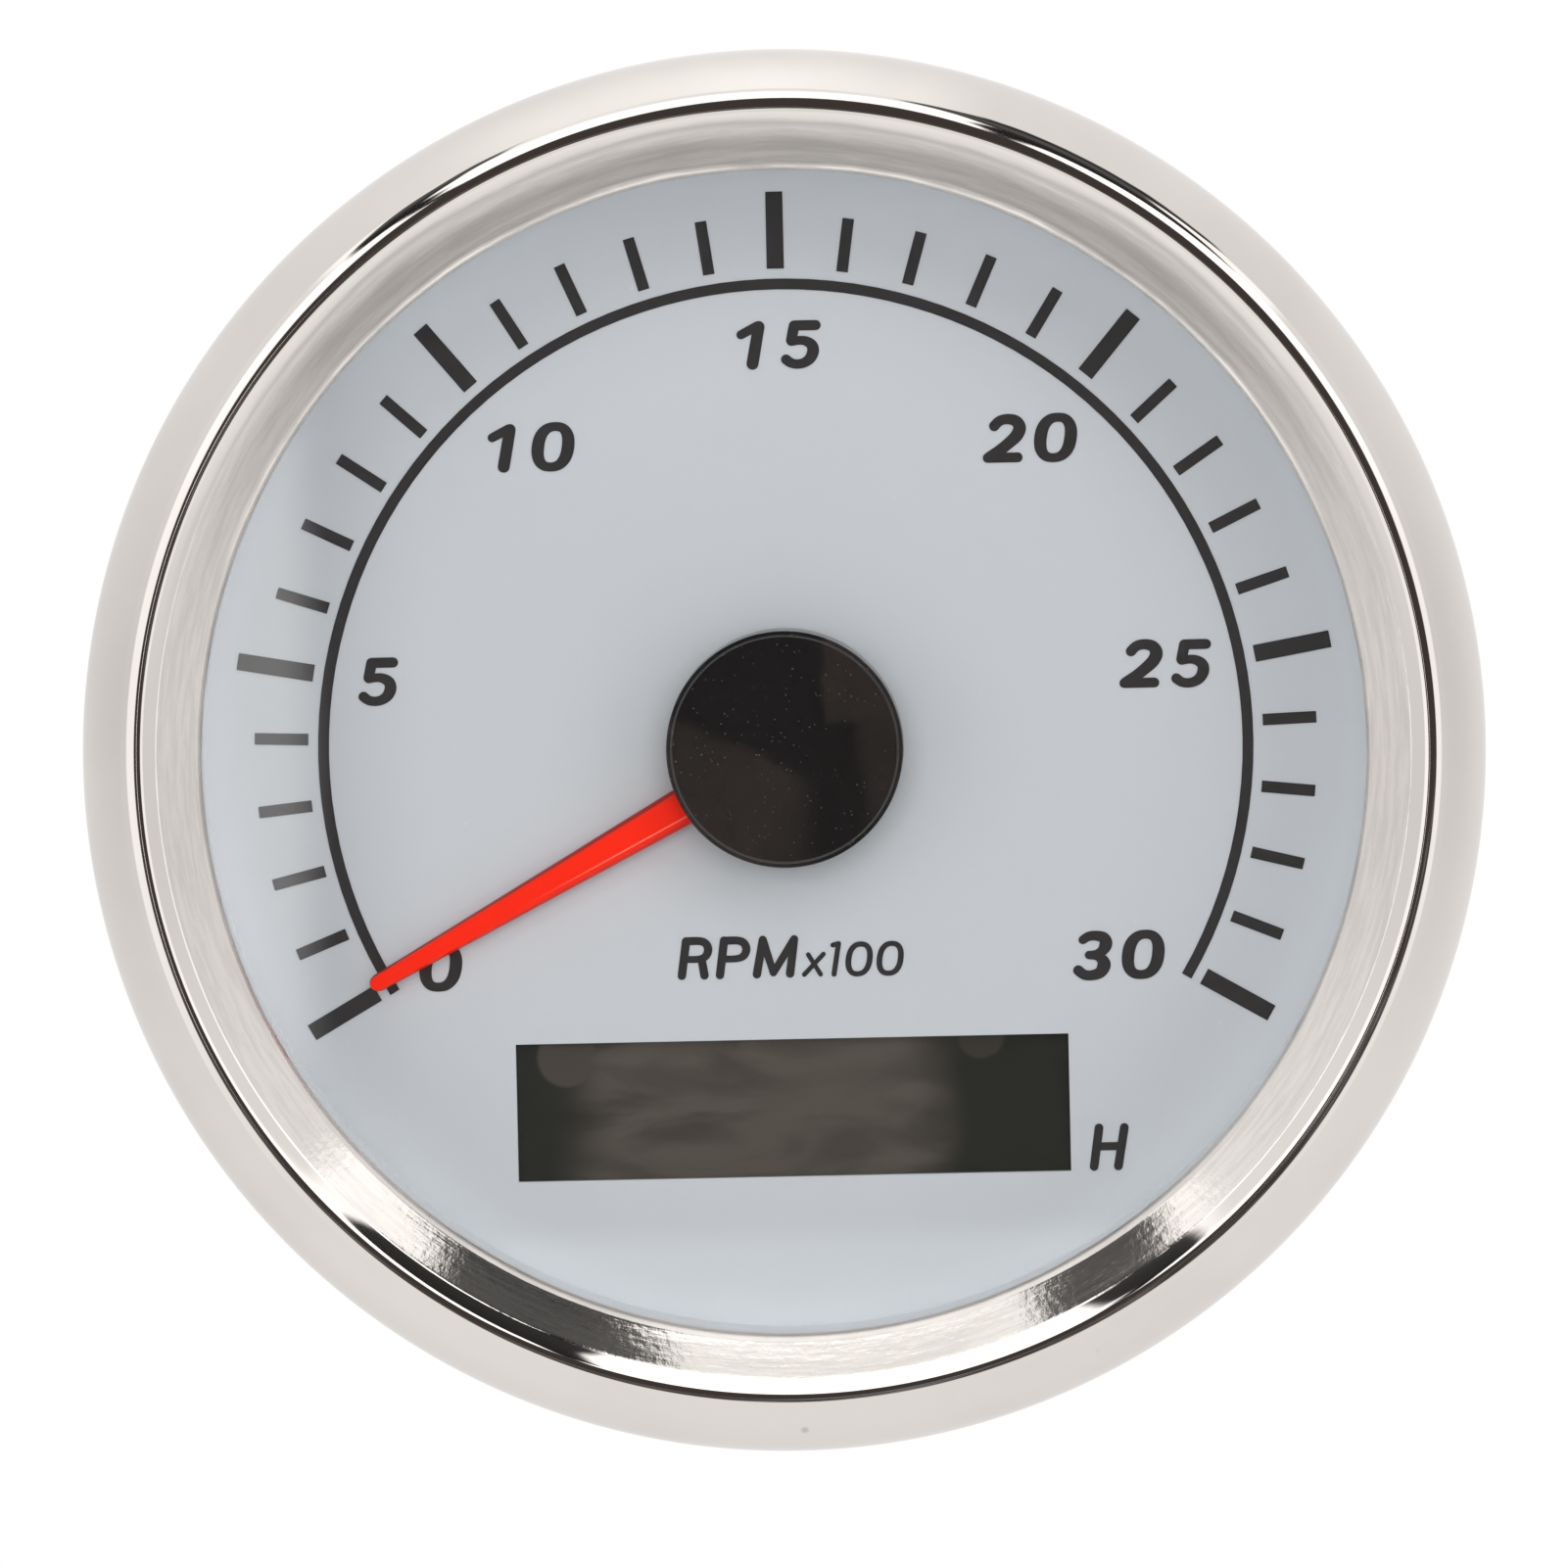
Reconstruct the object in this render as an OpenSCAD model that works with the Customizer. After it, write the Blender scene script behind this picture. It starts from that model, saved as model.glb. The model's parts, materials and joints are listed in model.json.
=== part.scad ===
// Boat tachometer for an 85 mm panel hole.
// Every piece is drawn with the axis along Z and the dial facing +Z, its top at +Y,
// and face_front() turns it so that the dial faces -Y with its top at +Z.
// The origin is on the axis, in the plane where the panel's front meets the gasket.

/* [Bezel and glass] */
// Outside diameter of the bezel
bezel_d = 96; // [94:0.5:102]
// Width of the shoulder, from the outer wall to the crest line
shoulder_w = 3.85; // [3.2:0.05:4.2]
// Width of the cove, from the crest line to the opening over the glass
cove_w = 4.35; // [4.2:0.05:5.2]
// Rise of the crest over the glass
crest_rise = 2.65; // [2.2:0.05:3.4]
// Length of the curve from the outer wall up to the crest
shoulder_drop = 3.9; // [3.2:0.1:4.4]
// Radius of the fold on the inner side of the crest
crest_fold_r = 0.8; // [0.75:0.05:1]
// Radius of the corner between that fold and the cove
cove_corner_r = 0.3; // [0.2:0.05:0.5]
// Slope of the cove beside the crest, in degrees
cove_slope = 6; // [4:1:9]
// Slope of the cove where it meets the lip, in degrees
lip_slope = 12; // [10:1:16]
// Radius of the rolled lip on the glass
lip_r = 0.7; // [0.65:0.05:0.9]
// Radius of the fold behind the flange
rear_fold_r = 0.9; // [0.8:0.05:1.1]
// Sheet thickness of the bezel
bezel_t = 0.6; // [0.4:0.05:0.6]
// Reach of the crimped edge behind the flange
crimp_reach = 3; // [2:0.1:3.2]
// Thickness of the glass
lens_t = 1.8; // [1.5:0.1:2.5]
// Thickness of the gasket under the glass
lens_gasket_t = 0.6; // [0.4:0.1:1]
// Width of the gasket's wall round the glass
lens_gasket_wall = 1.3; // [1:0.1:1.6]

/* [Case] */
// Distance from the bezel's outside to the spigot that fits the panel hole
spigot_inset = 6; // [5.6:0.1:6.6]
// Length of the plain spigot before the thread starts
spigot_l = 6; // [4:0.5:7]
// Depth of the thread on the case
thread_depth = 0.8; // [0.6:0.1:1]
// Air between the motor and the floor of the case
motor_air = 2.2; // [1.5:0.1:4]
// Wall of the case under the thread
case_wall = 1.6; // [1.2:0.1:1.8]
// Wall of the pocket that holds the dial
pocket_wall = 1; // [0.8:0.1:1.1]
// Thickness of the case's back
floor_t = 2; // [1.6:0.1:2]
// Thickness of the flange
flange_t = 1; // [0.8:0.1:1.6]
// Chamfer round the back of the case
back_chamfer = 1.5; // [0.5:0.1:2]
// Thickness of the gasket on the panel
gasket_t = 1; // [0.5:0.1:2]
// Step that centres the gasket on the spigot
gasket_step = 0.6; // [0.5:0.05:0.8]
// Width of the gasket's two sealing beads
gasket_bead_w = 0.8; // [0.5:0.1:1]

/* [Ring nut] */
// Distance from the panel's front to the ring nut
nut_z = 8; // [7.5:0.5:10]
// Length of the ring nut
nut_h = 9; // [7:0.5:11]
// Width of the ring nut's pressing flange
nut_flange_w = 4; // [3.2:0.1:4.6]
// Thickness of the pressing flange
nut_flange_t = 2; // [1.5:0.1:3]
// Wall of the ring nut
nut_wall = 2.6; // [2:0.1:3]
// Number of grip ribs
nut_ribs = 18; // [12:2:24]
// Width of a grip rib
nut_rib_w = 3; // [2:0.5:4]
// Height of a grip rib
nut_rib_h = 1.2; // [0.8:0.1:1.4]

/* [Dial] */
// Depth of the dial behind the glass
dial_depth = 7.7; // [7.5:0.1:9]
// Thickness of the dial plate
dial_t = 0.8; // [0.5:0.1:1.2]
// Thickness of the printed scale
print_t = 0.06; // [0.04:0.01:0.1]
// Distance from the opening's edge to the ends of the long marks
scale_margin = 1.62; // [1.5:0.02:3]
// Width of the scale's line
scale_w = 0.75; // [0.5:0.05:0.8]
// Sweep of the scale in degrees
scale_sweep = 240; // [200:5:250]
// Highest figure on the scale
scale_top = 30; // [20:10:60]
// Scale divisions from one long mark to the next
marks_per_figure = 5; // [5:5:10]
// Distance from the scale's line to the marks
mark_gap = 1.05; // [0.8:0.05:1.4]
// Length of a long mark
long_mark_l = 5.3; // [4.5:0.1:5.5]
// Width of a long mark
long_mark_w = 1.18; // [0.9:0.02:1.3]
// Length of a short mark
short_mark_l = 3.7; // [2:0.1:4]
// Width of a short mark
short_mark_w = 0.8; // [0.5:0.02:0.9]

/* [Hour display] */
// Width of the display's window
window_w = 38.1; // [34:0.1:38.2]
// Height of the display's window
window_h = 9.5; // [8:0.1:9.8]
// Distance from the opening's edge to the middle of the window
window_inset = 14.85; // [14.4:0.05:15.6]
// Glass that the dial covers round the window
lcd_border = 1.4; // [1:0.1:1.5]
// Ledge of the rear glass that carries the contacts
lcd_ledge = 1; // [0.8:0.1:1.2]
// Thickness of each of the display's two glasses
lcd_glass_t = 1.2; // [0.8:0.1:1.4]
// Wall of the display's frame
lcd_frame_wall = 1.5; // [1:0.1:1.6]
// Number of display contacts
lcd_pin_count = 16; // [10:2:20]
// Width of a display contact
lcd_pin_w = 0.5; // [0.4:0.05:0.6]

/* [Lighting] */
// Thickness of the light guide
guide_t = 2; // [1.5:0.1:2.5]
// Height of the light box
box_h = 7.7; // [7:0.1:8]
// Wall of the light box
box_wall = 1.3; // [1:0.1:1.5]
// Inside diameter of the light box's hub
box_hub_d = 18; // [18:0.5:20]
// Thickness of the light box's ribs
box_rib_t = 1.2; // [1:0.1:1.5]
// Length of a lamp chip
led_l = 3.5; // [2.8:0.1:3.5]
// Width of a lamp chip
led_w = 2.8; // [2:0.1:2.8]
// Height of a lamp chip
led_h = 1.9; // [1:0.1:1.9]
// Distance from the light box's wall to the dial's lamps
led_inset = 11; // [9:0.5:13]

/* [Pointer] */
// Reach of the pointer's tip past the scale's line
pointer_reach = 1.17; // [-1:0.01:1.4]
// Width of the pointer where it leaves the cap
pointer_root_w = 2.6; // [2:0.05:3]
// Width of the pointer's tip
pointer_tip_w = 1.2; // [0.8:0.05:1.4]
// Thickness of the pointer at its root
pointer_root_t = 1.5; // [1.2:0.1:1.6]
// Thickness of the pointer at its tip
pointer_tip_t = 0.8; // [0.6:0.1:1]
// Rest angle of the pointer above the zero mark in degrees
pointer_rest = 1.1; // [0:0.1:3]
// Diameter of the pointer's cap
cap_d = 16.25; // [15.8:0.05:17.6]
// Height of the pointer's cap
cap_h = 4.8; // [4.4:0.1:5]
// Wall of the pointer's cap
cap_wall = 0.9; // [0.7:0.05:1]
// Air between the cap and the dial
cap_gap = 0.4; // [0.3:0.05:0.5]
// Diameter of the pointer's boss
pointer_boss_d = 3.6; // [3:0.1:4]
// Diameter of the balance weight
weight_d = 2.4; // [2:0.1:2.6]
// Distance of the balance weight from the axis
weight_r = 4.6; // [4.2:0.1:4.8]

/* [Motor] */
// Depth of the motor's case
motor_h = 9.2; // [9.2:0.1:9.6]
// Wall of the motor's case
motor_wall = 1; // [0.8:0.05:1]
// Corner radius of the motor's case
motor_corner_r = 2; // [1.6:0.2:2.4]
// Diameter of the spindle
spindle_d = 1.5; // [1.2:0.1:1.6]
// Teeth of the output wheel
output_teeth = 96; // [80:2:100]
// Teeth of the idler's pinion
idler_pinion_teeth = 8; // [7:1:9]
// Tooth size of the output stage
output_module = 0.16; // [0.16:0.005:0.17]
// Teeth of the idler wheel
idler_teeth = 120; // [100:2:122]
// Teeth of the rotor's pinion
rotor_pinion_teeth = 8; // [7:1:9]
// Tooth size of the rotor stage
rotor_module = 0.12; // [0.11:0.005:0.12]
// Diameter of the rotor's magnet
magnet_d = 5.6; // [5:0.1:6]
// Length of the rotor's magnet
magnet_h = 3; // [2.4:0.1:3]
// Air between the magnet and the poles
pole_gap = 0.5; // [0.3:0.05:0.6]
// Width of the pole ring
pole_w = 1.9; // [1.5:0.1:2]
// Thickness of the stator's plate
stator_t = 0.8; // [0.6:0.1:1]
// Diameter of a winding
coil_d = 4.8; // [4:0.1:5]
// Width of a bobbin's cheek
cheek_w = 6; // [5.6:0.1:6.4]
// Height of a bobbin's cheek
cheek_h = 5.4; // [5:0.1:5.6]
// Thickness of a bobbin's cheek
cheek_t = 0.8; // [0.6:0.1:1]
// Length of a bobbin
bobbin_l = 7; // [6:0.1:7.2]
// Diameter of a motor contact
motor_pin_d = 0.6; // [0.5:0.05:0.7]

/* [Circuit board] */
// Thickness of the circuit board
board_t = 1.6; // [1.2:0.1:1.8]
// Distance of the board's screws from the board's edge
board_screw_inset = 5.8; // [5:0.1:6.4]
// Thread diameter of the board's screws
screw_d = 2.5; // [2:0.1:3]
// Head diameter of the board's screws
screw_head_d = 4.6; // [4.2:0.1:5]
// Head height of the board's screws
screw_head_h = 1.6; // [1.2:0.1:2]
// Length of the board's screws under the head
screw_l = 8; // [6:0.5:10]
// Side of the controller chip
chip_w = 10; // [7:0.5:12]
// Height of the controller chip
chip_h = 1.4; // [1:0.1:1.8]
// Diameter of the power capacitor
capacitor_d = 10; // [8:0.5:10]
// Height of the power capacitor
capacitor_h = 10; // [8:0.5:10.5]

/* [Socket and setting button] */
// Width of the socket's shroud
socket_w = 32; // [30:0.5:34]
// Height of the socket's shroud
socket_h = 15; // [14:0.5:16]
// Length of the socket's shroud
socket_l = 12.5; // [12:0.5:16]
// Wall of the socket's shroud
socket_wall = 1.7; // [1.4:0.1:2]
// Distance from the board's edge to the middle of the socket
socket_inset = 14.8; // [14:0.1:15.8]
// Distance from the board's edge to the setting button's axis
button_inset = 12.8; // [11:0.1:13.4]
// Reach of the contacts behind the case
contact_l = 7.4; // [6:0.2:8]
// Diameter of a socket contact
contact_d = 1.2; // [1:0.1:1.4]
// Spacing of the contacts across the socket
contact_pitch_x = 6; // [5:0.1:6.4]
// Spacing of the two contact rows
contact_pitch_y = 5; // [4:0.1:5.4]
// Diameter of the setting button's knob
knob_d = 9.2; // [8:0.1:9.6]
// Height of the setting button's knob
knob_h = 2.6; // [2:0.1:3]
// Travel of the setting button
button_travel = 1; // [0.5:0.1:1.2]
// Diameter of the button's stem
stem_d = 4.4; // [3.6:0.1:4.8]
// Outside diameter of the guard round the knob
guard_d = 14; // [13:0.5:15]
// Side of the button's switch
switch_w = 6; // [6:0.1:7]
// Height of the button's switch
switch_h = 3.5; // [3.3:0.1:4]
// Diameter of the switch's plunger
plunger_d = 3.4; // [3:0.1:3.6]

/* [Fits] */
// Radial clearance of a running shaft
running_fit = 0.03; // [0.02:0.01:0.05]
// Radial clearance of pieces that drop into each other
drop_fit = 0.1; // [0.05:0.01:0.15]
// Clearance of the ring nut over the thread's crest
nut_fit = 0.2; // [0.15:0.01:0.3]

/* [Hidden] */
$fn = 72;

// Radii from the axis outwards
bezel_r = bezel_d / 2;
crest_r = bezel_r - shoulder_w;
opening_r = crest_r - cove_w;
spigot_r = bezel_r - spigot_inset;
thread_root_r = spigot_r - thread_depth;
inner_r = thread_root_r - case_wall;
pocket_r = spigot_r - pocket_wall;
flange_r = bezel_r - bezel_t - 2 * drop_fit;
crimp_r = bezel_r - crimp_reach;
lens_gasket_r = flange_r - 0.3;
lens_r = lens_gasket_r - lens_gasket_wall - drop_fit;
lens_gasket_inner_r = lens_r - 2.6;
gasket_r = bezel_r - 0.6;
gasket_seat_r = spigot_r + gasket_step;
gasket_inner_r = gasket_seat_r + drop_fit;
spacer_r = pocket_r - drop_fit;
spacer_inner_r = opening_r + 0.2;
dial_r = pocket_r - 2 * drop_fit;
tray_r = inner_r - 3 * drop_fit;
board_r = tray_r - 0.5;
box_inner_r = tray_r - box_wall;
box_hub_r = box_hub_d / 2;

// Heights from the panel's front, positive towards the glass
flange_rear = gasket_t + bezel_t;
flange_front = flange_rear + flange_t;
lens_rear = flange_front + lens_gasket_t;
lens_front = lens_rear + lens_t;
crest_z = lens_front + crest_rise;
shoulder_z = crest_z - shoulder_drop;
dial_front = lens_rear - dial_depth;
dial_rear = dial_front - dial_t;
guide_rear = dial_rear - guide_t;
board_front = guide_rear - box_h;
board_rear = board_front - board_t;
capacitor_air = 1.4;
floor_z = board_rear - max(motor_h + motor_air, capacitor_h + capacitor_air);
back_z = floor_z - floor_t;

// Display, with its window's centre under the axis
window_y = opening_r - window_inset;
lcd_w = window_w + 2 * lcd_border;
lcd_front_h = window_h + 2 * lcd_border + 0.3;
lcd_top = -window_y + lcd_front_h / 2;
lcd_bottom = -window_y - lcd_front_h / 2 - lcd_ledge;
lcd_rear = dial_rear - 2 * lcd_glass_t;
lcd_frame_w = lcd_w + 1.4;
lcd_frame_h = lcd_front_h - 0.2;
lcd_pin_y = lcd_bottom + lcd_ledge / 2 - 0.1;
lcd_pin_pitch = (lcd_w - 4.6) / (lcd_pin_count - 1);

// Scale
mark_r = opening_r - scale_margin - long_mark_l;
scale_r = mark_r - mark_gap;
division = scale_sweep / scale_top;

// Pointer
pointer_l = scale_r + pointer_reach;
zero_bearing = -scale_sweep / 2;
pointer_bearing = zero_bearing + pointer_rest;
cap_r = cap_d / 2;
cap_bottom = dial_front + cap_gap;
cap_top = cap_bottom + cap_h;
hub_bottom = cap_bottom + 0.2;
hub_h = pointer_root_t + 0.3;
hub_top = hub_bottom + hub_h;
hub_r = 4.2;
boss_bottom = dial_rear - guide_t + 0.3;
spindle_r = spindle_d / 2;
spindle_top = hub_top - 0.8;
dial_hole_r = pointer_boss_d / 2 + 0.6;

// Motor: two meshing stages, laid out on their centre distances
output_gap = (output_teeth + idler_pinion_teeth) / 2 * output_module;
rotor_gap = (idler_teeth + rotor_pinion_teeth) / 2 * rotor_module;
idler_at = [0, output_gap];
rotor_at = [rotor_gap, output_gap];
motor_front = board_rear;
motor_rear = motor_front - motor_h;
motor_inner_front = motor_front - motor_wall;
motor_inner_rear = motor_rear + motor_wall;
parting_z = motor_inner_rear + 3.8;
coil_z = motor_inner_rear + cheek_h / 2;
stator_z = coil_z - stator_t / 2;
magnet_z = coil_z - magnet_h / 2;
idler_wheel_t = 0.6;
idler_wheel_z = magnet_z + magnet_h + 0.35;
output_wheel_t = 0.8;
output_wheel_z = idler_wheel_z + idler_wheel_t + 0.5;
arbor_r = 0.4;
pivot_depth = motor_wall / 2;
pivot_top = motor_inner_front + pivot_depth - 0.1;
pivot_bottom = motor_inner_rear - pivot_depth + 0.1;
motor_left = -(output_teeth / 2 + 1) * output_module - 2.1;
motor_bottom = motor_left;
motor_top = idler_at[1] + (idler_teeth / 2 + 1) * rotor_module + 1.4;
coil_x = [rotor_at[0] + 0.92, rotor_at[0] + 1.72 + cheek_w];
third_bar_x = coil_x[1] + cheek_w / 2 + 1.1;
motor_right = third_bar_x + 0.4 + motor_wall;
bearing_r = spindle_r + 0.85;
bearing_top = board_front + 2.4;
pole_r = magnet_d / 2 + pole_gap;
bobbin_top = 0.6;
bobbin_bottom = bobbin_top - bobbin_l;
base_y = bobbin_bottom - 2;
bar_w = 1.8;
third_bar_w = 0.9;
barrel_w = 2.8;
stator_posts = [
  [coil_x[0] - 0.1, base_y + bar_w / 2],
  [coil_x[1], base_y + bar_w / 2],
  [third_bar_x - 0.4, rotor_at[1] + 2.2]
];
motor_pin_y = bobbin_bottom + cheek_t / 2;
pegs = [[motor_left + 2.4, motor_bottom + 2.4], [motor_right - 2.4, motor_top - 2.4]];
peg_r = 1;

// Circuit board
board_screw_r = board_r - board_screw_inset;
screw_angles = [48, 146, 200, 340];
boss_r = screw_d / 2 + 2;
rib_angles = [10, 65, 115, 170];
led_ring_r = box_inner_r - led_inset;
led_angles = [-15, 25, 52, 90, 128, 155, 195];
lcd_led_at = [12, 2.8 - window_y];
hub_led_at = [5, 3];
chip_at = [14.8 - board_r, 6];
capacitor_at = [17.8 - board_r, -9.5];
regulator_at = [-14.5, board_r - 16.3];
regulator_size = [10, 9, 4.4];
resistor_at = [board_r - 10.8, 0];
resistor_size = [3.2, 1.6, 0.6];

// Socket and button
socket_y = board_r - socket_inset;
contact_x = [-1.5, -0.5, 0.5, 1.5];
contact_r = contact_d / 2;
contact_tip = back_z - contact_l;
header_w = 3 * contact_pitch_x + 8;
header_h = contact_pitch_y + 5;
button_at = [8, board_r - button_inset];
switch_face = board_rear - switch_h;
stem_r = stem_d / 2;
stem_flange_r = stem_r + 1;
stem_flange_t = 0.8;
stem_front = switch_face - button_travel - 0.2;
knob_front = back_z - button_travel - 0.3;
guard_l = knob_h + button_travel + 0.9;
guard_wall = 1.4;
stem_seat = 1.4;
seal_r = 0.6;
seal_pocket_r = stem_r + running_fit + 2 * seal_r + running_fit;
plunger_r = plunger_d / 2;
plunger_seat = 1.2;

// Turns a piece from its drawing position to the dial facing -Y
module face_front() {
  rotate([90, 0, 0]) children();
}

// A short cylinder from z0 up to z1
module post(r, z0, z1) {
  translate([0, 0, z0]) cylinder(r = r, h = z1 - z0);
}

// A ring from z0 up to z1
module ring(outer, inner, z0, z1) {
  difference() {
    post(outer, z0, z1);
    post(inner, z0 - 1, z1 + 1);
  }
}

// A rectangle about the origin with round corners
module rounded_rect(w, h, r) {
  square([w - 2 * r, h], center = true);
  square([w, h - 2 * r], center = true);
  for (x = [-1, 1], y = [-1, 1])
    translate([x * (w / 2 - r), y * (h / 2 - r)]) circle(r = r);
}

// A rounded block from z0 up to z1
module block(w, h, r, z0, z1) {
  translate([0, 0, z0]) linear_extrude(height = z1 - z0) rounded_rect(w, h, r);
}

// Points on an elliptical arc
function arc(centre, rx, rz, from, to, steps) = [
  for (i = [0 : steps])
    let (a = from + (to - from) * i / steps)
      [centre[0] + rx * cos(a), centre[1] + rz * sin(a)]
];

// Points on a curve that leaves a along da and reaches b along db
function sweep(a, da, b, db, steps) = [
  for (i = [1 : steps - 1])
    let (t = i / steps, u = 1 - t)
      u * u * u * a + 3 * u * u * t * (a + da) + 3 * u * t * t * (b - db) + t * t * t * b
];

// A sheet's inner side: each point of the outer side moved in by the sheet's thickness
function inner_side(path, t) = [
  for (i = [len(path) - 1 : -1 : 0])
    let (
      back = path[max(i - 1, 0)],
      next = path[min(i + 1, len(path) - 1)],
      run = (next - back) / norm(next - back)
    )
      path[i] + t * [-run[1], run[0]]
];

// The bezel's outer side, from the crimped edge round the outside to the lip on the glass
fold_start = 102;
fold_end = 150;
fold_centre = [crest_r, crest_z - crest_fold_r];
fold_foot = fold_centre + crest_fold_r * [cos(fold_end), sin(fold_end)];
corner_centre = fold_foot + cove_corner_r * [cos(fold_end), sin(fold_end)];
cove_start = corner_centre + cove_corner_r * [sin(cove_slope), -cos(cove_slope)];
lip_start_r = opening_r + lip_r - lip_r * sin(lip_slope);
cove_run = cove_start[0] - lip_start_r;
cove_end = [lip_start_r, cove_start[1] - cove_run * tan((cove_slope + lip_slope) / 2)];
lip_centre = cove_end - lip_r * [-sin(lip_slope), cos(lip_slope)];
bezel_side = concat(
  [[crimp_r, gasket_t]],
  arc([bezel_r - rear_fold_r, gasket_t + rear_fold_r], rear_fold_r, rear_fold_r, -90, 0, 6),
  arc([crest_r, shoulder_z], bezel_r - crest_r, shoulder_drop, 0, 90, 16),
  arc(fold_centre, crest_fold_r, crest_fold_r, fold_start, fold_end, 4),
  arc(corner_centre, cove_corner_r, cove_corner_r, fold_end - 180, cove_slope - 90, 4),
  sweep(cove_start, cove_run / 3 * [-cos(cove_slope), -sin(cove_slope)],
        cove_end, cove_run / 3 * [-cos(lip_slope), -sin(lip_slope)], 6),
  arc(lip_centre, lip_r, lip_r, 90 + lip_slope, 180, 5),
  [[opening_r, lens_front]]
);

module bezel() {
  color("#d8d3ce") face_front()
    rotate_extrude() polygon(concat(bezel_side, inner_side(bezel_side, bezel_t)));
}

module lens() {
  edge = 0.3;
  color("#dfe8ea", 0.35) face_front() rotate_extrude() polygon([
    [0, lens_rear],
    [lens_r - edge, lens_rear],
    [lens_r, lens_rear + edge],
    [lens_r, lens_front - edge],
    [lens_r - edge, lens_front],
    [0, lens_front]
  ]);
}

module lens_gasket() {
  wall_inner_r = lens_r + drop_fit;
  edge = 0.4;
  color("#202224") face_front() rotate_extrude() polygon([
    [lens_gasket_inner_r, flange_front],
    [lens_gasket_r, flange_front],
    [lens_gasket_r, lens_front - edge],
    [lens_gasket_r - edge, lens_front],
    [wall_inner_r, lens_front],
    [wall_inner_r, lens_rear],
    [lens_gasket_inner_r, lens_rear]
  ]);
}

module dial_spacer() {
  color("#c3c8cc") face_front() ring(spacer_r, spacer_inner_r, dial_front, lens_rear);
}

module panel_gasket() {
  middle = (gasket_r + gasket_inner_r) / 2;
  groove = (gasket_r - gasket_inner_r) / 2 - gasket_bead_w;
  color("#1d1e20") face_front() difference() {
    ring(gasket_r, gasket_inner_r, 0, gasket_t);
    ring(middle + groove / 2, middle - groove / 2, -1, gasket_t * 0.2);
  }
}

// The cup, from the middle of its back round the outside to the middle of its floor
module case_shell() {
  flange_edge = 0.3;
  rotate_extrude() polygon([
    [0, back_z],
    [thread_root_r - back_chamfer, back_z],
    [thread_root_r, back_z + back_chamfer],
    [thread_root_r, -spigot_l],
    [spigot_r, -spigot_l + thread_depth],
    [spigot_r, 0],
    [gasket_seat_r, 0],
    [gasket_seat_r, gasket_t],
    [crimp_r - 2 * drop_fit, gasket_t],
    [crimp_r - 2 * drop_fit, flange_rear],
    [flange_r - flange_edge, flange_rear],
    [flange_r, flange_rear + flange_edge],
    [flange_r, flange_front],
    [pocket_r, flange_front],
    [pocket_r, dial_rear],
    [inner_r, dial_rear],
    [inner_r, floor_z],
    [0, floor_z]
  ]);
}

// Puts its children at each of the board's screws
module at_screws() {
  for (a = screw_angles)
    rotate([0, 0, a]) translate([board_screw_r, 0, 0]) children();
}

// Puts its children at each of the socket's contacts
module at_contacts() {
  for (i = contact_x, j = [-0.5, 0.5])
    translate([i * contact_pitch_x, -socket_y + j * contact_pitch_y, 0]) children();
}

// Puts its children on the setting button's axis
module at_button() {
  translate([button_at[0], button_at[1], 0]) children();
}

// The shroud round the contacts, with a key inside and a catch for the plug outside
module socket_shroud() {
  key_w = 3;
  key_t = 1.1;
  translate([0, -socket_y, 0]) {
    difference() {
      block(socket_w, socket_h, 2.5, back_z - socket_l, back_z + 0.5);
      block(socket_w - 2 * socket_wall, socket_h - 2 * socket_wall, 1.2,
            back_z - socket_l - 1, back_z);
    }
    translate([-key_w / 2, socket_h / 2 - socket_wall - key_t, back_z - socket_l + 3])
      cube([key_w, key_t + 0.5, socket_l - 2.5]);
    translate([-4, socket_h / 2 - 0.2, back_z - socket_l + 2]) cube([8, 1.4, 2]);
  }
}

module case() {
  color("#1b1c1e") face_front() difference() {
    union() {
      case_shell();
      at_screws() post(boss_r, floor_z - 0.5, board_rear);
      socket_shroud();
      at_button() ring(guard_d / 2, guard_d / 2 - guard_wall, back_z - guard_l, back_z + 0.5);
    }
    at_screws() post(screw_d / 2 + drop_fit / 2, board_rear - screw_l, board_rear + 1);
    at_contacts() post(contact_r + drop_fit / 2, back_z - 1, floor_z + 1);
    at_button() {
      post(stem_r + drop_fit, back_z - 1, floor_z + 1);
      post(seal_pocket_r, back_z - 1, back_z + 2 * seal_r);
    }
  }
}

module ring_nut() {
  bore_r = spigot_r + nut_fit;
  body_r = bore_r + nut_wall;
  flange_edge_r = bore_r + nut_flange_w;
  front = -nut_z;
  rear = front - nut_h;
  color("#232427") face_front() difference() {
    union() {
      rotate_extrude() polygon([
        [bore_r, front],
        [flange_edge_r - 0.5, front],
        [flange_edge_r, front - 0.5],
        [flange_edge_r, front - nut_flange_t],
        [body_r, front - nut_flange_t - 0.6],
        [body_r, rear + 0.6],
        [body_r - 0.6, rear],
        [bore_r, rear]
      ]);
      for (i = [0 : nut_ribs - 1])
        rotate([0, 0, 360 * i / nut_ribs])
          translate([body_r - 1, -nut_rib_w / 2, rear + 1])
            cube([nut_rib_h + 1, nut_rib_w, nut_h - 1.5]);
    }
    translate([0, 0, rear - 0.1]) cylinder(r1 = bore_r + 0.9, r2 = bore_r, h = 0.9);
  }
}

module dial_plate() {
  color("#c3c9ce") face_front() difference() {
    post(dial_r, dial_rear, dial_front);
    post(dial_hole_r, dial_rear - 1, dial_front + 1);
    translate([0, -window_y, dial_rear - 1])
      linear_extrude(height = dial_t + 2) square([window_w, window_h], center = true);
  }
}

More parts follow.
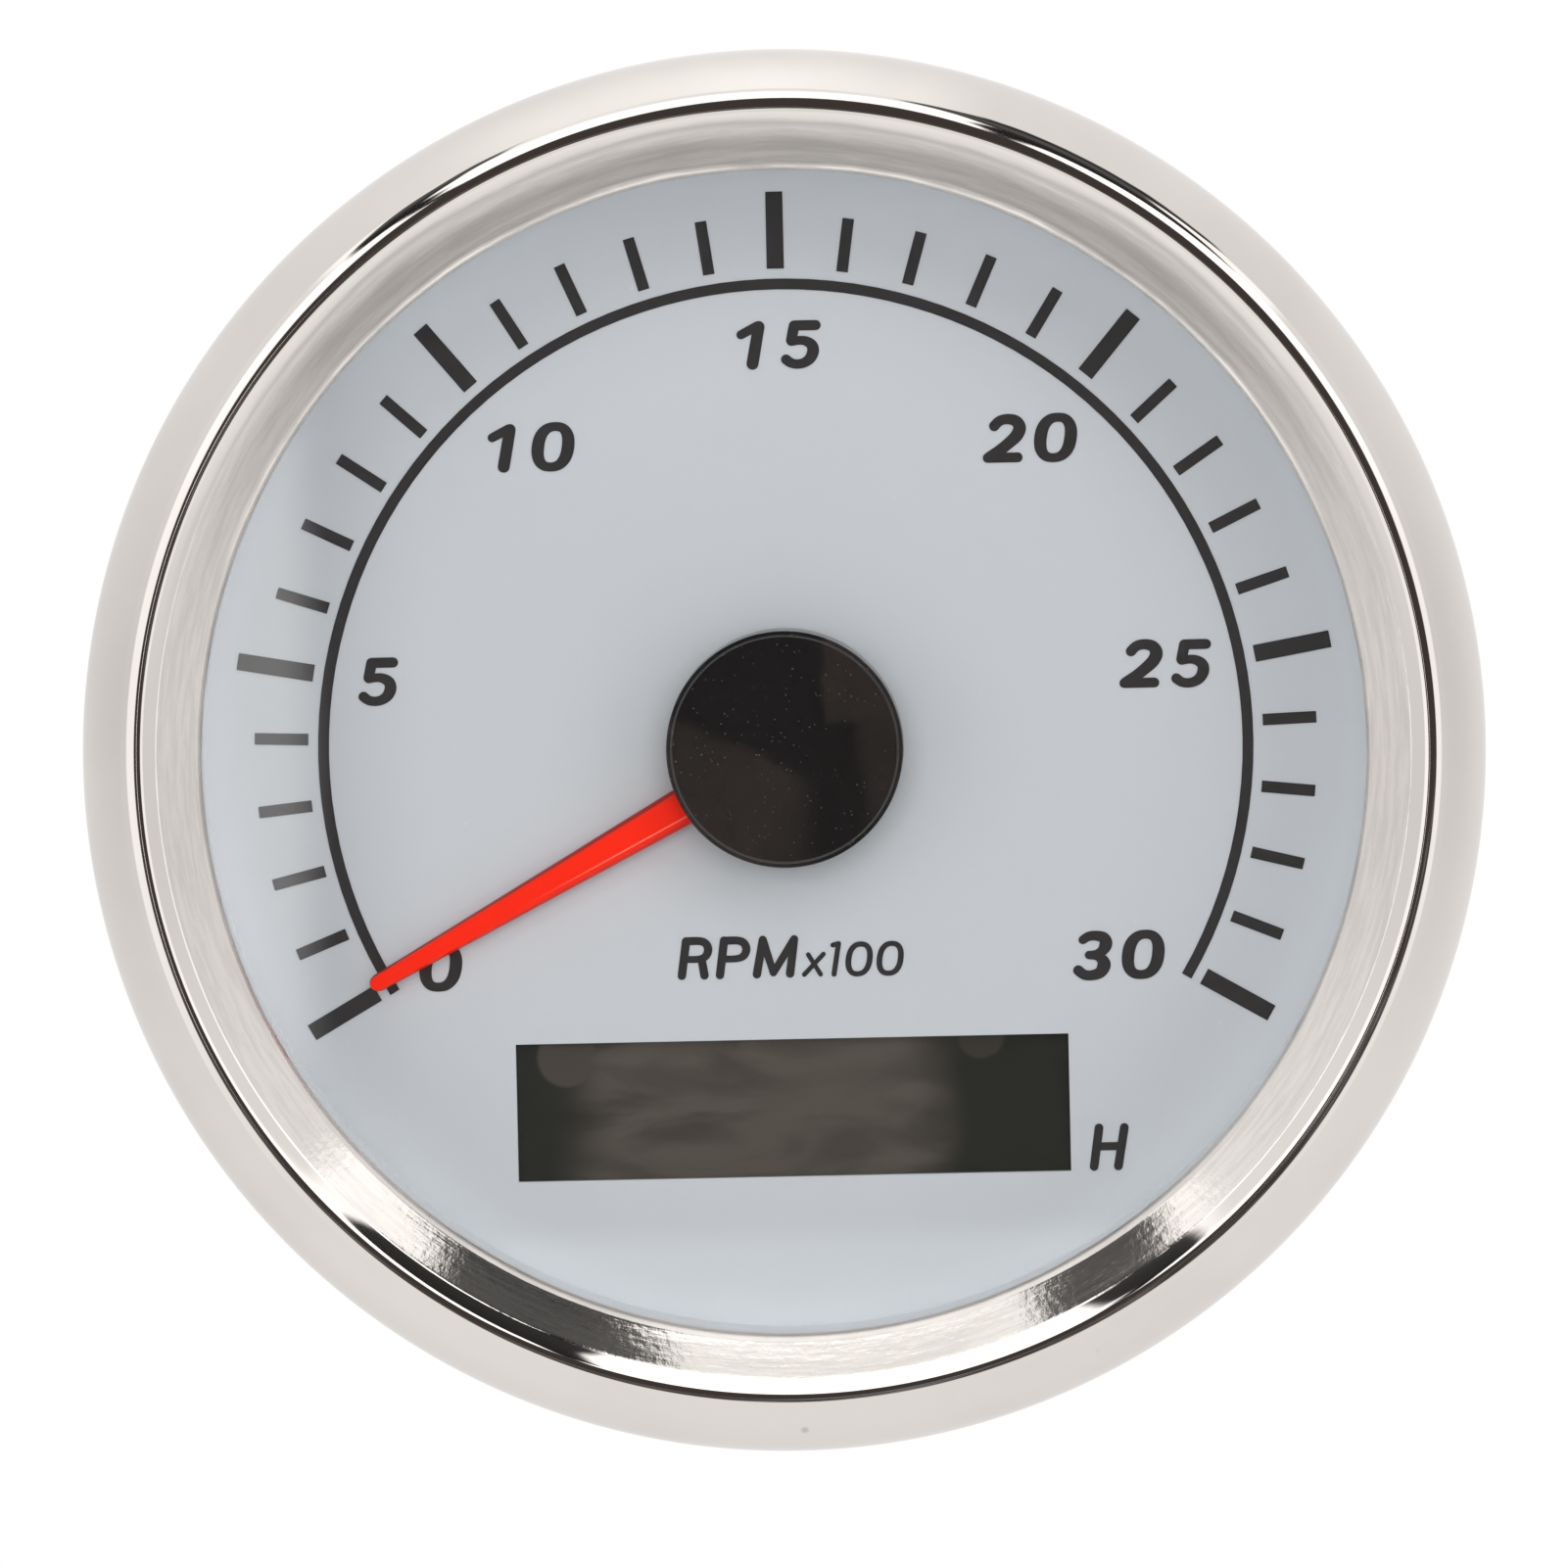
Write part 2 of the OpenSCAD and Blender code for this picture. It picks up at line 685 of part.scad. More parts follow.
module dial_marks() {
  end_pad = asin(long_mark_w / 2 / mark_r);
  color("#2b2927") face_front() translate([0, 0, dial_front]) {
    rotate([0, 0, 90 - scale_sweep / 2 - end_pad])
      rotate_extrude(angle = scale_sweep + 2 * end_pad)
        translate([scale_r - scale_w / 2, 0]) square([scale_w, print_t]);
    for (i = [0 : scale_top]) {
      long = i % marks_per_figure == 0;
      l = long ? long_mark_l : short_mark_l;
      w = long ? long_mark_w : short_mark_w;
      rotate([0, 0, scale_sweep / 2 - i * division])
        translate([-w / 2, mark_r, 0]) cube([w, l, print_t]);
    }
  }
}

// Room for the display, open at the bottom of the dial
module lcd_room(z0, z1) {
  translate([-lcd_w / 2 - 0.3, -pocket_r, z0])
    cube([lcd_w + 0.6, pocket_r + lcd_top + 0.3, z1 - z0]);
}

module light_guide() {
  color("#e8eef0", 0.5) face_front() difference() {
    post(tray_r, guide_rear, dial_rear);
    post(dial_hole_r + 1.2, guide_rear - 1, dial_rear + 1);
    lcd_room(guide_rear - 1, dial_rear + 1);
  }
}

module light_box() {
  color("#eeeeea") face_front() {
    difference() {
      ring(tray_r, box_inner_r, board_front, guide_rear);
      lcd_room(lcd_rear - 0.3, guide_rear + 1);
    }
    ring(box_hub_r + box_wall, box_hub_r, board_front, guide_rear);
    for (a = rib_angles)
      rotate([0, 0, a])
        translate([box_hub_r + box_wall / 2, -box_rib_t / 2, board_front + 1])
          cube([box_inner_r - box_hub_r, box_rib_t, box_h - 2]);
  }
}

module lcd_glass() {
  color("#3a3936") face_front() {
    translate([-lcd_w / 2, lcd_bottom + lcd_ledge, dial_rear - lcd_glass_t])
      cube([lcd_w, lcd_front_h, lcd_glass_t]);
    translate([-lcd_w / 2, lcd_bottom, lcd_rear])
      cube([lcd_w, lcd_front_h + lcd_ledge, lcd_glass_t]);
  }
}

module lcd_frame() {
  color("#f0f0ec") face_front() translate([0, -window_y, 0]) difference() {
    block(lcd_frame_w, lcd_frame_h, 1, board_front, lcd_rear);
    block(lcd_frame_w - 2 * lcd_frame_wall, lcd_frame_h - 2 * lcd_frame_wall, 0.5,
          board_front - 1, lcd_rear + 1);
  }
}

module lcd_pins() {
  color("#c9c9c4") face_front()
    for (i = [0 : lcd_pin_count - 1])
      translate([(i - (lcd_pin_count - 1) / 2) * lcd_pin_pitch - lcd_pin_w / 2,
                 lcd_pin_y - 0.15, board_front])
        cube([lcd_pin_w, 0.3, lcd_rear - board_front]);
}

module circuit_board() {
  color("#1f5a38") face_front() difference() {
    post(board_r, board_rear, board_front);
    post(bearing_r + drop_fit, board_rear - 1, board_front + 1);
    at_screws() post(screw_d / 2 + drop_fit, board_rear - 1, board_front + 1);
    at_contacts() post(contact_r + drop_fit / 2, board_rear - 1, board_front + 1);
    at_motor_pins() post(motor_pin_d / 2 + drop_fit / 2, board_rear - 1, board_front + 1);
    for (p = pegs)
      translate([p[0], p[1], 0]) post(peg_r + drop_fit, board_rear - 1, board_front + 1);
  }
}

module board_screws() {
  recess_w = 0.5;
  color("#b9bcc0") face_front() at_screws() difference() {
    union() {
      post(screw_d / 2, board_front - screw_l, board_front);
      translate([0, 0, board_front])
        cylinder(r1 = screw_head_d / 2, r2 = screw_head_d / 2 - 0.5, h = screw_head_h);
    }
    for (a = [0, 90])
      rotate([0, 0, a])
        translate([-1.1, -recess_w / 2, board_front + screw_head_h - 0.8])
          cube([2.2, recess_w, 2]);
  }
}

// A lamp chip on the front of the board
module lamp(x, y) {
  translate([x - led_l / 2, y - led_w / 2, board_front]) cube([led_l, led_w, led_h]);
}

module lamp_chips() {
  color("#f4efcf") face_front() {
    for (a = led_angles)
      lamp(led_ring_r * cos(a), led_ring_r * sin(a));
    for (side = [-1, 1], at = [lcd_led_at, hub_led_at])
      lamp(side * at[0], at[1]);
  }
}

module controller_chip() {
  leg_w = 0.4;
  leg_pitch = 1;
  legs = floor((chip_w - 1.4) / leg_pitch / 2);
  color("#26272a") face_front() translate([chip_at[0], chip_at[1], board_rear - chip_h]) {
    translate([-chip_w / 2, -chip_w / 2, 0]) cube([chip_w, chip_w, chip_h - 0.1]);
    for (side = [0 : 90 : 270], i = [-legs : legs])
      rotate([0, 0, side])
        translate([chip_w / 2 - 0.1, i * leg_pitch - leg_w / 2, chip_h - 0.3])
          cube([1.1, leg_w, 0.3]);
  }
}

module power_capacitor() {
  groove_z = 0.22 * capacitor_h;
  edge = 0.06 * capacitor_d;
  foot = capacitor_d / 2;
  color("#3b3f46") face_front()
    translate([capacitor_at[0], capacitor_at[1], board_rear - capacitor_h])
    rotate_extrude() polygon([
      [0, 0],
      [foot - edge, 0],
      [foot, edge],
      [foot, capacitor_h - groove_z - edge],
      [foot - edge, capacitor_h - groove_z],
      [foot, capacitor_h - groove_z + edge],
      [foot, capacitor_h],
      [0, capacitor_h]
    ]);
}

module voltage_regulator() {
  w = regulator_size[0];
  l = regulator_size[1];
  h = regulator_size[2];
  tab_t = 0.13 * w;
  tab_l = 0.32 * w;
  leg_w = 0.08 * w;
  leg_l = 0.32 * w;
  leg_t = 0.06 * w;
  color("#2b2c2f") face_front() translate([regulator_at[0], regulator_at[1], board_rear - h]) {
    translate([-w / 2, -l / 2, 0]) cube([w, l, h]);
    translate([-w / 2, l / 2 - 0.1, h - tab_t]) cube([w, tab_l, tab_t]);
    for (x = [-1, 1])
      translate([x * w / 3 - leg_w / 2, -l / 2 - leg_l + 0.2, h - leg_t]) cube([leg_w, leg_l, leg_t]);
  }
}

module chip_resistors() {
  pitch = 1.6 * resistor_size[1];
  row_gap = 1.375 * resistor_size[0];
  color("#34363a") face_front()
    for (i = [0 : 3], j = [0, 1])
      translate([resistor_at[0] + j * row_gap - resistor_size[0] / 2,
                 resistor_at[1] + (i - 1.5) * pitch - resistor_size[1] / 2,
                 board_rear - resistor_size[2]])
        cube(resistor_size);
}

module contact_header() {
  color("#1e1f21") face_front() difference() {
    translate([0, -socket_y, 0]) block(header_w, header_h, 1, floor_z, board_rear);
    at_contacts() post(contact_r + drop_fit / 2, floor_z - 1, board_rear + 1);
  }
}

module contact_pins() {
  tip = 0.9;
  color("#c8a24a") face_front() at_contacts() {
    post(contact_r, contact_tip + tip, board_front + 0.8);
    translate([0, 0, contact_tip]) cylinder(r1 = contact_r / 2, r2 = contact_r, h = tip);
  }
}

// Outline of the motor's case, grown or shrunk by a margin
module motor_outline(margin) {
  w = motor_right - motor_left + 2 * margin;
  h = motor_top - motor_bottom + 2 * margin;
  translate([(motor_left + motor_right) / 2, (motor_bottom + motor_top) / 2])
    rounded_rect(w, h, motor_corner_r + margin);
}

module motor_solid(margin, z0, z1) {
  translate([0, 0, z0]) linear_extrude(height = z1 - z0) motor_outline(margin);
}

// Puts its children at each contact of the motor, two on each bobbin
module at_motor_pins() {
  for (x = coil_x, side = [-1, 1])
    translate([x + side * (cheek_w / 2 - 0.6), motor_pin_y, 0]) children();
}

module motor_front_shell() {
  color("#e6e6e1") face_front() difference() {
    union() {
      motor_solid(0, parting_z, motor_front);
      post(bearing_r, motor_front - 0.5, bearing_top);
      for (p = pegs)
        translate([p[0], p[1], 0]) post(peg_r, motor_front - 0.5, board_front);
    }
    motor_solid(-motor_wall, parting_z - 1, motor_inner_front);
    post(spindle_r + running_fit, motor_inner_front - 1, bearing_top + 1);
    for (p = [idler_at, rotor_at])
      translate([p[0], p[1], 0])
        post(arbor_r + running_fit, motor_inner_front - 1, motor_inner_front + pivot_depth);
    at_motor_pins() post(motor_pin_d / 2 + drop_fit / 2, motor_inner_front - 1, motor_front + 1);
  }
}

// The rear shell, with posts under the stator's base bar and third bar
module motor_rear_shell() {
  color("#2a2b2e") face_front() difference() {
    union() {
      difference() {
        motor_solid(0, motor_rear, parting_z);
        motor_solid(-motor_wall, motor_inner_rear, parting_z + 1);
      }
      for (p = stator_posts)
        translate([p[0], p[1], 0]) post(0.8, motor_inner_rear - 0.3, stator_z);
    }
    post(spindle_r + running_fit, motor_inner_rear - pivot_depth, motor_inner_rear + 1);
    for (p = [idler_at, rotor_at])
      translate([p[0], p[1], 0])
        post(arbor_r + running_fit, motor_inner_rear - pivot_depth, motor_inner_rear + 1);
  }
}

// One plate: three pole shoes round the magnet, two arms through the coils, a bar that returns
module motor_stator() {
  ring_r = pole_r + pole_w;
  slot_w = 0.5;
  slot_angles = [10.5, 190, 315];
  link_y = rotor_at[1] + 1.9;
  color("#8d9196") face_front() translate([0, 0, stator_z]) linear_extrude(height = stator_t)
    difference() {
      union() {
        translate(rotor_at) circle(r = ring_r);
        translate([coil_x[0] - bar_w / 2, base_y])
          square([bar_w, rotor_at[1] - pole_r - 0.8 - base_y]);
        translate([coil_x[1] - bar_w / 2, base_y]) square([bar_w, rotor_at[1] - base_y]);
        translate([rotor_at[0] + pole_r + 0.5, rotor_at[1] - bar_w])
          square([coil_x[1] - rotor_at[0] - pole_r, bar_w]);
        translate([coil_x[0] - bar_w / 2, base_y])
          square([third_bar_x - coil_x[0] + bar_w / 2, bar_w]);
        translate([third_bar_x - third_bar_w, base_y])
          square([third_bar_w, link_y + bar_w - base_y]);
        translate([rotor_at[0] + pole_r, link_y])
          square([third_bar_x - rotor_at[0] - pole_r, bar_w]);
      }
      translate(rotor_at) circle(r = pole_r);
      for (a = slot_angles)
        translate(rotor_at) rotate(a)
          translate([pole_r - 1, -slot_w / 2]) square([pole_w + 1.2, slot_w]);
    }
}

module motor_bobbins() {
  slot_fit = drop_fit / 2;
  color("#d9c9a0") face_front()
    for (x = coil_x)
      difference() {
        union() {
          translate([x - barrel_w / 2, bobbin_bottom, coil_z - barrel_w / 2])
            cube([barrel_w, bobbin_l, barrel_w]);
          for (y = [bobbin_bottom, bobbin_top - cheek_t])
            translate([x - cheek_w / 2, y, coil_z - cheek_h / 2])
              cube([cheek_w, cheek_t, cheek_h]);
        }
        translate([x - bar_w / 2 - slot_fit, bobbin_bottom - 1, coil_z - stator_t / 2 - slot_fit])
          cube([bar_w + 2 * slot_fit, bobbin_l + 2, stator_t + 2 * slot_fit]);
      }
}

module motor_coils() {
  color("#b5652b") face_front()
    for (x = coil_x)
      difference() {
        translate([x, bobbin_bottom + cheek_t, coil_z]) rotate([-90, 0, 0])
          cylinder(d = coil_d, h = bobbin_l - 2 * cheek_t);
        translate([x - barrel_w / 2, bobbin_bottom - 1, coil_z - barrel_w / 2])
          cube([barrel_w, bobbin_l + 2, barrel_w]);
      }
}

module motor_pins() {
  color("#c9c9c4") face_front()
    at_motor_pins() post(motor_pin_d / 2, coil_z + cheek_h / 2, board_front + 0.4);
}

// A gear's outline: each tooth goes up and down through rings of [radius, half thickness]
function gear_points(teeth, rings) = [
  for (i = [0 : teeth - 1], side = [-1, 1], k = [0 : len(rings) - 1])
    let (
      ring = side < 0 ? rings[k] : rings[len(rings) - 1 - k],
      a = 360 * i / teeth + side * asin(ring[1] / ring[0])
    )
      ring[0] * [cos(a), sin(a)]
];

// Wheel teeth have straight flanks, pinion teeth narrow again below the pitch circle
function wheel_rings(teeth, m) = [
  [m * (teeth / 2 - 1.35), m * 1.12],
  [m * (teeth / 2 + 0.85), m * 0.36]
];
function pinion_rings(teeth, m) = [
  [m * (teeth / 2 - 1.25), m * 0.4],
  [m * (teeth / 2 - 0.2), m * 0.66],
  [m * (teeth / 2 + 0.45), m * 0.48],
  [m * (teeth / 2 + 0.75), m * 0.28]
];

module wheel(teeth, m, h) {
  linear_extrude(height = h) polygon(gear_points(teeth, wheel_rings(teeth, m)));
}

module pinion(teeth, m, h) {
  linear_extrude(height = h) polygon(gear_points(teeth, pinion_rings(teeth, m)));
}

module rotor_magnet() {
  color("#3d4046") face_front() translate([rotor_at[0], rotor_at[1], magnet_z]) difference() {
    cylinder(d = magnet_d, h = magnet_h);
    translate([0, 0, -1]) cylinder(r = arbor_r, h = magnet_h + 2);
  }
}

// The rotor's pinion has a gap on the line to the idler, which lies along -X
module rotor_pinion() {
  top = idler_wheel_z + idler_wheel_t + 0.4;
  color("#c9b037") face_front() translate([rotor_at[0], rotor_at[1], 0]) {
    translate([0, 0, magnet_z + magnet_h]) rotate([0, 0, 180 + 180 / rotor_pinion_teeth])
      pinion(rotor_pinion_teeth, rotor_module, top - magnet_z - magnet_h);
    post(arbor_r, pivot_bottom, pivot_top);
  }
}

// The idler's wheel has a tooth on the line to the rotor, along +X,
// and its pinion has a gap on the line to the spindle, along -Y
module idler_wheel() {
  pinion_h = output_wheel_z + output_wheel_t + 0.3 - idler_wheel_z - idler_wheel_t;
  lightening_r = idler_teeth / 2 * rotor_module * 0.62;
  color("#e9e4d4") face_front() translate([idler_at[0], idler_at[1], 0]) {
    difference() {
      translate([0, 0, idler_wheel_z]) wheel(idler_teeth, rotor_module, idler_wheel_t);
      for (a = [30 : 60 : 330])
        rotate([0, 0, a]) translate([lightening_r, 0, 0])
          post(1.5, idler_wheel_z - 1, idler_wheel_z + idler_wheel_t + 1);
    }
    translate([0, 0, idler_wheel_z + idler_wheel_t])
      rotate([0, 0, -90 + 180 / idler_pinion_teeth])
        pinion(idler_pinion_teeth, output_module, pinion_h);
    post(arbor_r, pivot_bottom, pivot_top);
    post(1.2, idler_wheel_z - 0.5, idler_wheel_z);
  }
}

// The output wheel has a tooth on the line to the idler, along +Y
module output_wheel() {
  web_r = output_teeth / 2 * output_module - 1.6;
  color("#e9e4d4") face_front() difference() {
    union() {
      translate([0, 0, output_wheel_z]) rotate([0, 0, 90])
        wheel(output_teeth, output_module, output_wheel_t);
      post(1.8, output_wheel_z - 0.2, output_wheel_z + output_wheel_t + 0.3);
    }
    for (a = [45 : 90 : 315])
      rotate([0, 0, a]) translate([web_r - 2, 0, 0])
        post(1.6, output_wheel_z - 2, output_wheel_z + output_wheel_t + 2);
    post(spindle_r, output_wheel_z - 2, output_wheel_z + output_wheel_t + 1);
  }
}

module spindle() {
  color("#cfd2d6") face_front()
    post(spindle_r, pivot_bottom, spindle_top);
}

// Draws its children with the pointer along +Y, then turns them to the rest angle
module at_pointer() {
  rotate([0, 0, -pointer_bearing]) children();
}

// One section of the blade: flat below, bevelled above
function blade_section(y, w, z0, t) = [
  [-w / 2, y, z0],
  [w / 2, y, z0],
  [w / 2, y, z0 + 0.45 * t],
  [0.38 * w, y, z0 + t],
  [-0.38 * w, y, z0 + t],
  [-w / 2, y, z0 + 0.45 * t]
];

// The blade runs from inside the hub to a round tip
module blade() {
  start = hub_r - 1;
  tip = pointer_l - pointer_tip_w / 2;
  slope = (pointer_root_w - pointer_tip_w) / (tip - cap_r);
  start_w = pointer_root_w + slope * (cap_r - start);
  z0 = hub_bottom + 0.15;
  tip_turns = [0, 30, 55, 75];
  last = len(tip_turns);
  reach = (pointer_l - tip) / sin(tip_turns[last - 1]);
  tip_drop = 0.2;
  sections = concat(
    blade_section(start, start_w, z0, pointer_root_t),
    [
      for (a = tip_turns)
        each blade_section(tip + reach * sin(a), pointer_tip_w * cos(a), z0,
                           pointer_tip_t * (1 - tip_drop * sin(a)))
    ]
  );
  sides = [
    for (s = [0 : last - 1], k = [0 : 5])
      [6 * s + k, 6 * s + (k + 1) % 6, 6 * s + 6 + (k + 1) % 6, 6 * s + 6 + k]
  ];
  tip_end = [for (k = [0 : 5]) 6 * last + k];
  polyhedron(sections, concat([[5, 4, 3, 2, 1, 0]], sides, [tip_end]));
}

module pointer_arm() {
  color("#e8321a") face_front() difference() {
    at_pointer() {
      blade();
      difference() {
        union() {
          post(hub_r, hub_bottom, hub_top);
          translate([0, -weight_r, 0]) post(weight_d / 2 + 0.7, hub_bottom, hub_top);
          translate([-1.9, -weight_r, hub_bottom]) cube([3.8, weight_r, hub_h]);
        }
        translate([0, -weight_r, 0]) post(weight_d / 2, hub_bottom - 1, hub_top + 1);
      }
      post(pointer_boss_d / 2, boss_bottom, hub_bottom + 0.2);
    }
    post(spindle_r, boss_bottom - 1, spindle_top);
  }
}

module balance_weight() {
  color("#b08d3c") face_front() at_pointer()
    translate([0, -weight_r, 0]) post(weight_d / 2, hub_bottom, hub_top + 0.6);
}

module pointer_cap() {
  rim_w = 0.2;
  edge = 0.15;
  dish = 0.1;
  draft = 0.15;
  notch_w = pointer_root_w + 0.8;
  color("#17171a") face_front() at_pointer() difference() {
    union() {
      rotate_extrude() polygon([
        [cap_r - cap_wall, cap_bottom],
        [cap_r, cap_bottom],
        [cap_r - draft, cap_top - edge],
        [cap_r - draft - edge, cap_top],
        [cap_r - draft - edge - rim_w, cap_top],
        [cap_r - draft - edge - rim_w - dish, cap_top - dish],
        [0, cap_top - dish],
        [0, cap_top - cap_wall - dish],
        [cap_r - cap_wall - draft, cap_top - cap_wall - dish]
      ]);
      post(1.4, hub_top, cap_top - cap_wall);
    }
    translate([-notch_w / 2, 0, cap_bottom - 1])
      cube([notch_w, cap_r + 1, hub_top + 0.3 - cap_bottom + 1]);
  }
}

module button_knob() {
  grip = 0.5;
  color("#2f3033") face_front() at_button() difference() {
    rotate_extrude() polygon([
      [0, knob_front],
      [knob_d / 2, knob_front],
      [knob_d / 2, knob_front - knob_h + grip],
      [knob_d / 2 - grip, knob_front - knob_h],
      [0, knob_front - knob_h]
    ]);
    post(stem_r, knob_front - stem_seat, knob_front + 1);
  }
}

module button_stem() {
  color("#d8d8d4") face_front() at_button() {
    post(stem_r, knob_front - stem_seat, stem_front);
    post(stem_flange_r, floor_z + 0.05, floor_z + 0.05 + stem_flange_t);
  }
}

module button_seal() {
  color("#151618") face_front() at_button() translate([0, 0, back_z + seal_r])
    rotate_extrude() translate([stem_r + running_fit + seal_r, 0]) circle(r = seal_r);
}

module button_switch() {
  color("#2c2d30") face_front() at_button() {
    difference() {
      translate([-switch_w / 2, -switch_w / 2, switch_face]) cube([switch_w, switch_w, switch_h]);
      post(plunger_r + running_fit, switch_face - 1, switch_face + plunger_seat + button_travel + 0.2);
    }
    for (x = [-1, 1], y = [-1, 1])
      translate([x * (switch_w / 2 + 0.5) - 0.6, y * 2.2 - 0.4, board_rear - 0.4])
        cube([1.2, 0.8, 0.4]);
  }
}

module switch_plunger() {
  color("#e8e0c0") face_front() at_button() post(plunger_r, stem_front, switch_face + plunger_seat);
}

bezel();
lens();
lens_gasket();
dial_spacer();
panel_gasket();
case();
ring_nut();
dial_plate();
dial_marks();
light_guide();
light_box();
lcd_glass();
lcd_frame();
lcd_pins();
circuit_board();
board_screws();
lamp_chips();
controller_chip();
power_capacitor();
voltage_regulator();
chip_resistors();
contact_header();
contact_pins();
motor_front_shell();
motor_rear_shell();
motor_stator();
motor_bobbins();
motor_coils();
motor_pins();
rotor_magnet();
rotor_pinion();
idler_wheel();
output_wheel();
spindle();
pointer_arm();
pointer_cap();
balance_weight();
button_knob();
button_stem();
button_seal();
button_switch();
switch_plunger();
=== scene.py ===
import json
import math

import bmesh
import bpy
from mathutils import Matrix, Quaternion, Vector
from mathutils.geometry import delaunay_2d_cdt


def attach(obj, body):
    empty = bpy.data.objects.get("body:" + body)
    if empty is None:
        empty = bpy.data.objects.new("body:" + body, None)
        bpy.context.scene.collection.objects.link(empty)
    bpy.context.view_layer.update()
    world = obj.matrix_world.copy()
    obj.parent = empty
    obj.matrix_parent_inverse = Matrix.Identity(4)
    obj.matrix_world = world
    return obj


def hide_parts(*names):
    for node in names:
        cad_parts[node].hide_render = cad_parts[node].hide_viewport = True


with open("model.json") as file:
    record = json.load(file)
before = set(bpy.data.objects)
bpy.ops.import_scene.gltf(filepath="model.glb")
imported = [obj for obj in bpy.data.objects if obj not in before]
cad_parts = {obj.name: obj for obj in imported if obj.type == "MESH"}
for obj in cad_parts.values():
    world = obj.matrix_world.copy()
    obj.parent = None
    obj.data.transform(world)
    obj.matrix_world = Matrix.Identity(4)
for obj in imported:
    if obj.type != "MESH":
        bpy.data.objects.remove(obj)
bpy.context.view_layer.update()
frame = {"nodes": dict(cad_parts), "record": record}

# Sizes are in millimetres on the gauge's own axes: x right, y up the dial, z towards the viewer.
mm = 0.001
nodes = frame["nodes"]


def toWorld(x, y, z):
    return Vector((x, -z, y)) * mm


def srgb(r, g, b):
    def one(v):
        v /= 255
        return v / 12.92 if v <= 0.04045 else ((v + 0.055) / 1.055) ** 2.4
    return (one(r), one(g), one(b), 1)


# Mesh helpers
def newPiece(name, bm, material, sharp=30):
    bmesh.ops.remove_doubles(bm, verts=bm.verts, dist=1e-7)
    bmesh.ops.recalc_face_normals(bm, faces=bm.faces)
    for face in bm.faces:
        face.smooth = True
    for edge in bm.edges:
        edge.smooth = len(edge.link_faces) == 2 and edge.calc_face_angle(0) < math.radians(sharp)
    mesh = bpy.data.meshes.new(name)
    bm.to_mesh(mesh)
    bm.free()
    mesh.materials.append(material)
    piece = bpy.data.objects.new(name, mesh)
    bpy.context.scene.collection.objects.link(piece)
    return piece


def spin(bm, profile, segments):
    # turns points [radius, z] round the axis; a point on the axis stays one vertex
    rings = []
    for r, z in profile:
        if r < 1e-6:
            rings.append([bm.verts.new(toWorld(0, 0, z))])
        else:
            rings.append([
                bm.verts.new(toWorld(r * math.cos(2 * math.pi * i / segments),
                                     r * math.sin(2 * math.pi * i / segments), z))
                for i in range(segments)])
    for a, b in zip(rings, rings[1:] + rings[:1]):
        for i in range(segments):
            j = (i + 1) % segments
            if len(a) == 1 and len(b) == 1:
                break
            if len(a) == 1:
                bm.faces.new((a[0], b[i], b[j]))
            elif len(b) == 1:
                bm.faces.new((a[i], b[0], a[j]))
            else:
                bm.faces.new((a[i], b[i], b[j], a[j]))


def arc(centre, rx, rz, start, end, steps):
    return [(centre[0] + rx * math.cos(math.radians(start + (end - start) * i / steps)),
             centre[1] + rz * math.sin(math.radians(start + (end - start) * i / steps)))
            for i in range(steps + 1)]


def evaluated(piece):
    # the modifiers' result becomes the piece's own mesh
    graph = bpy.context.evaluated_depsgraph_get()
    graph.update()
    mesh = bpy.data.meshes.new_from_object(piece.evaluated_get(graph))
    mesh.name = piece.name
    old = piece.data
    piece.modifiers.clear()
    piece.data = mesh
    if old.users == 0:
        bpy.data.meshes.remove(old)


def softened(nodeName, pieceName, width, material):
    # a merged copy of a node, with its edges rounded a little
    sharp = 35
    bm = bmesh.new()
    bm.from_mesh(nodes[nodeName].data)
    bmesh.ops.remove_doubles(bm, verts=bm.verts, dist=2e-6)
    bmesh.ops.dissolve_limit(bm, angle_limit=math.radians(0.6), verts=bm.verts, edges=bm.edges)
    piece = newPiece(pieceName, bm, material, sharp)
    bevel = piece.modifiers.new("edges", "BEVEL")
    bevel.width = width * mm
    bevel.segments = 2
    bevel.limit_method = "ANGLE"
    bevel.angle_limit = math.radians(sharp)
    bevel.harden_normals = True
    evaluated(piece)
    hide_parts(nodeName)
    return piece


# Node helpers
def newGroup(name, kind, inputs, outputs):
    # an input is given by its first value, or by its kind of socket where it has none
    tree = bpy.data.node_groups.new(name, kind)
    kinds = {float: "Float", int: "Int", tuple: "Color"}
    for label, value in inputs.items():
        held = value if isinstance(value, str) else kinds[type(value)]
        made = tree.interface.new_socket(name=label, in_out="INPUT", socket_type="NodeSocket" + held)
        if held != value:
            made.default_value = value
    for label, held in outputs.items():
        tree.interface.new_socket(name=label, in_out="OUTPUT", socket_type="NodeSocket" + held)
    return tree, tree.nodes.new("NodeGroupInput"), tree.nodes.new("NodeGroupOutput")


def node(tree, kind, inputs=None, **settings):
    made = tree.nodes.new(kind)
    for key, value in settings.items():
        setattr(made, key, value)
    for key, value in (inputs or {}).items():
        if isinstance(value, bpy.types.NodeSocket):
            tree.links.new(value, made.inputs[key])
        else:
            made.inputs[key].default_value = value
    return made


def calc(tree, operation, a, b=0.0, c=0.0):
    return node(tree, "ShaderNodeMath", {0: a, 1: b, 2: c}, operation=operation).outputs[0]


def times(tree, a, b):
    return calc(tree, "MULTIPLY", a, b)


def minus(tree, a, b):
    return calc(tree, "SUBTRACT", a, b)


def timesPlus(tree, a, b, c):
    return calc(tree, "MULTIPLY_ADD", a, b, c)


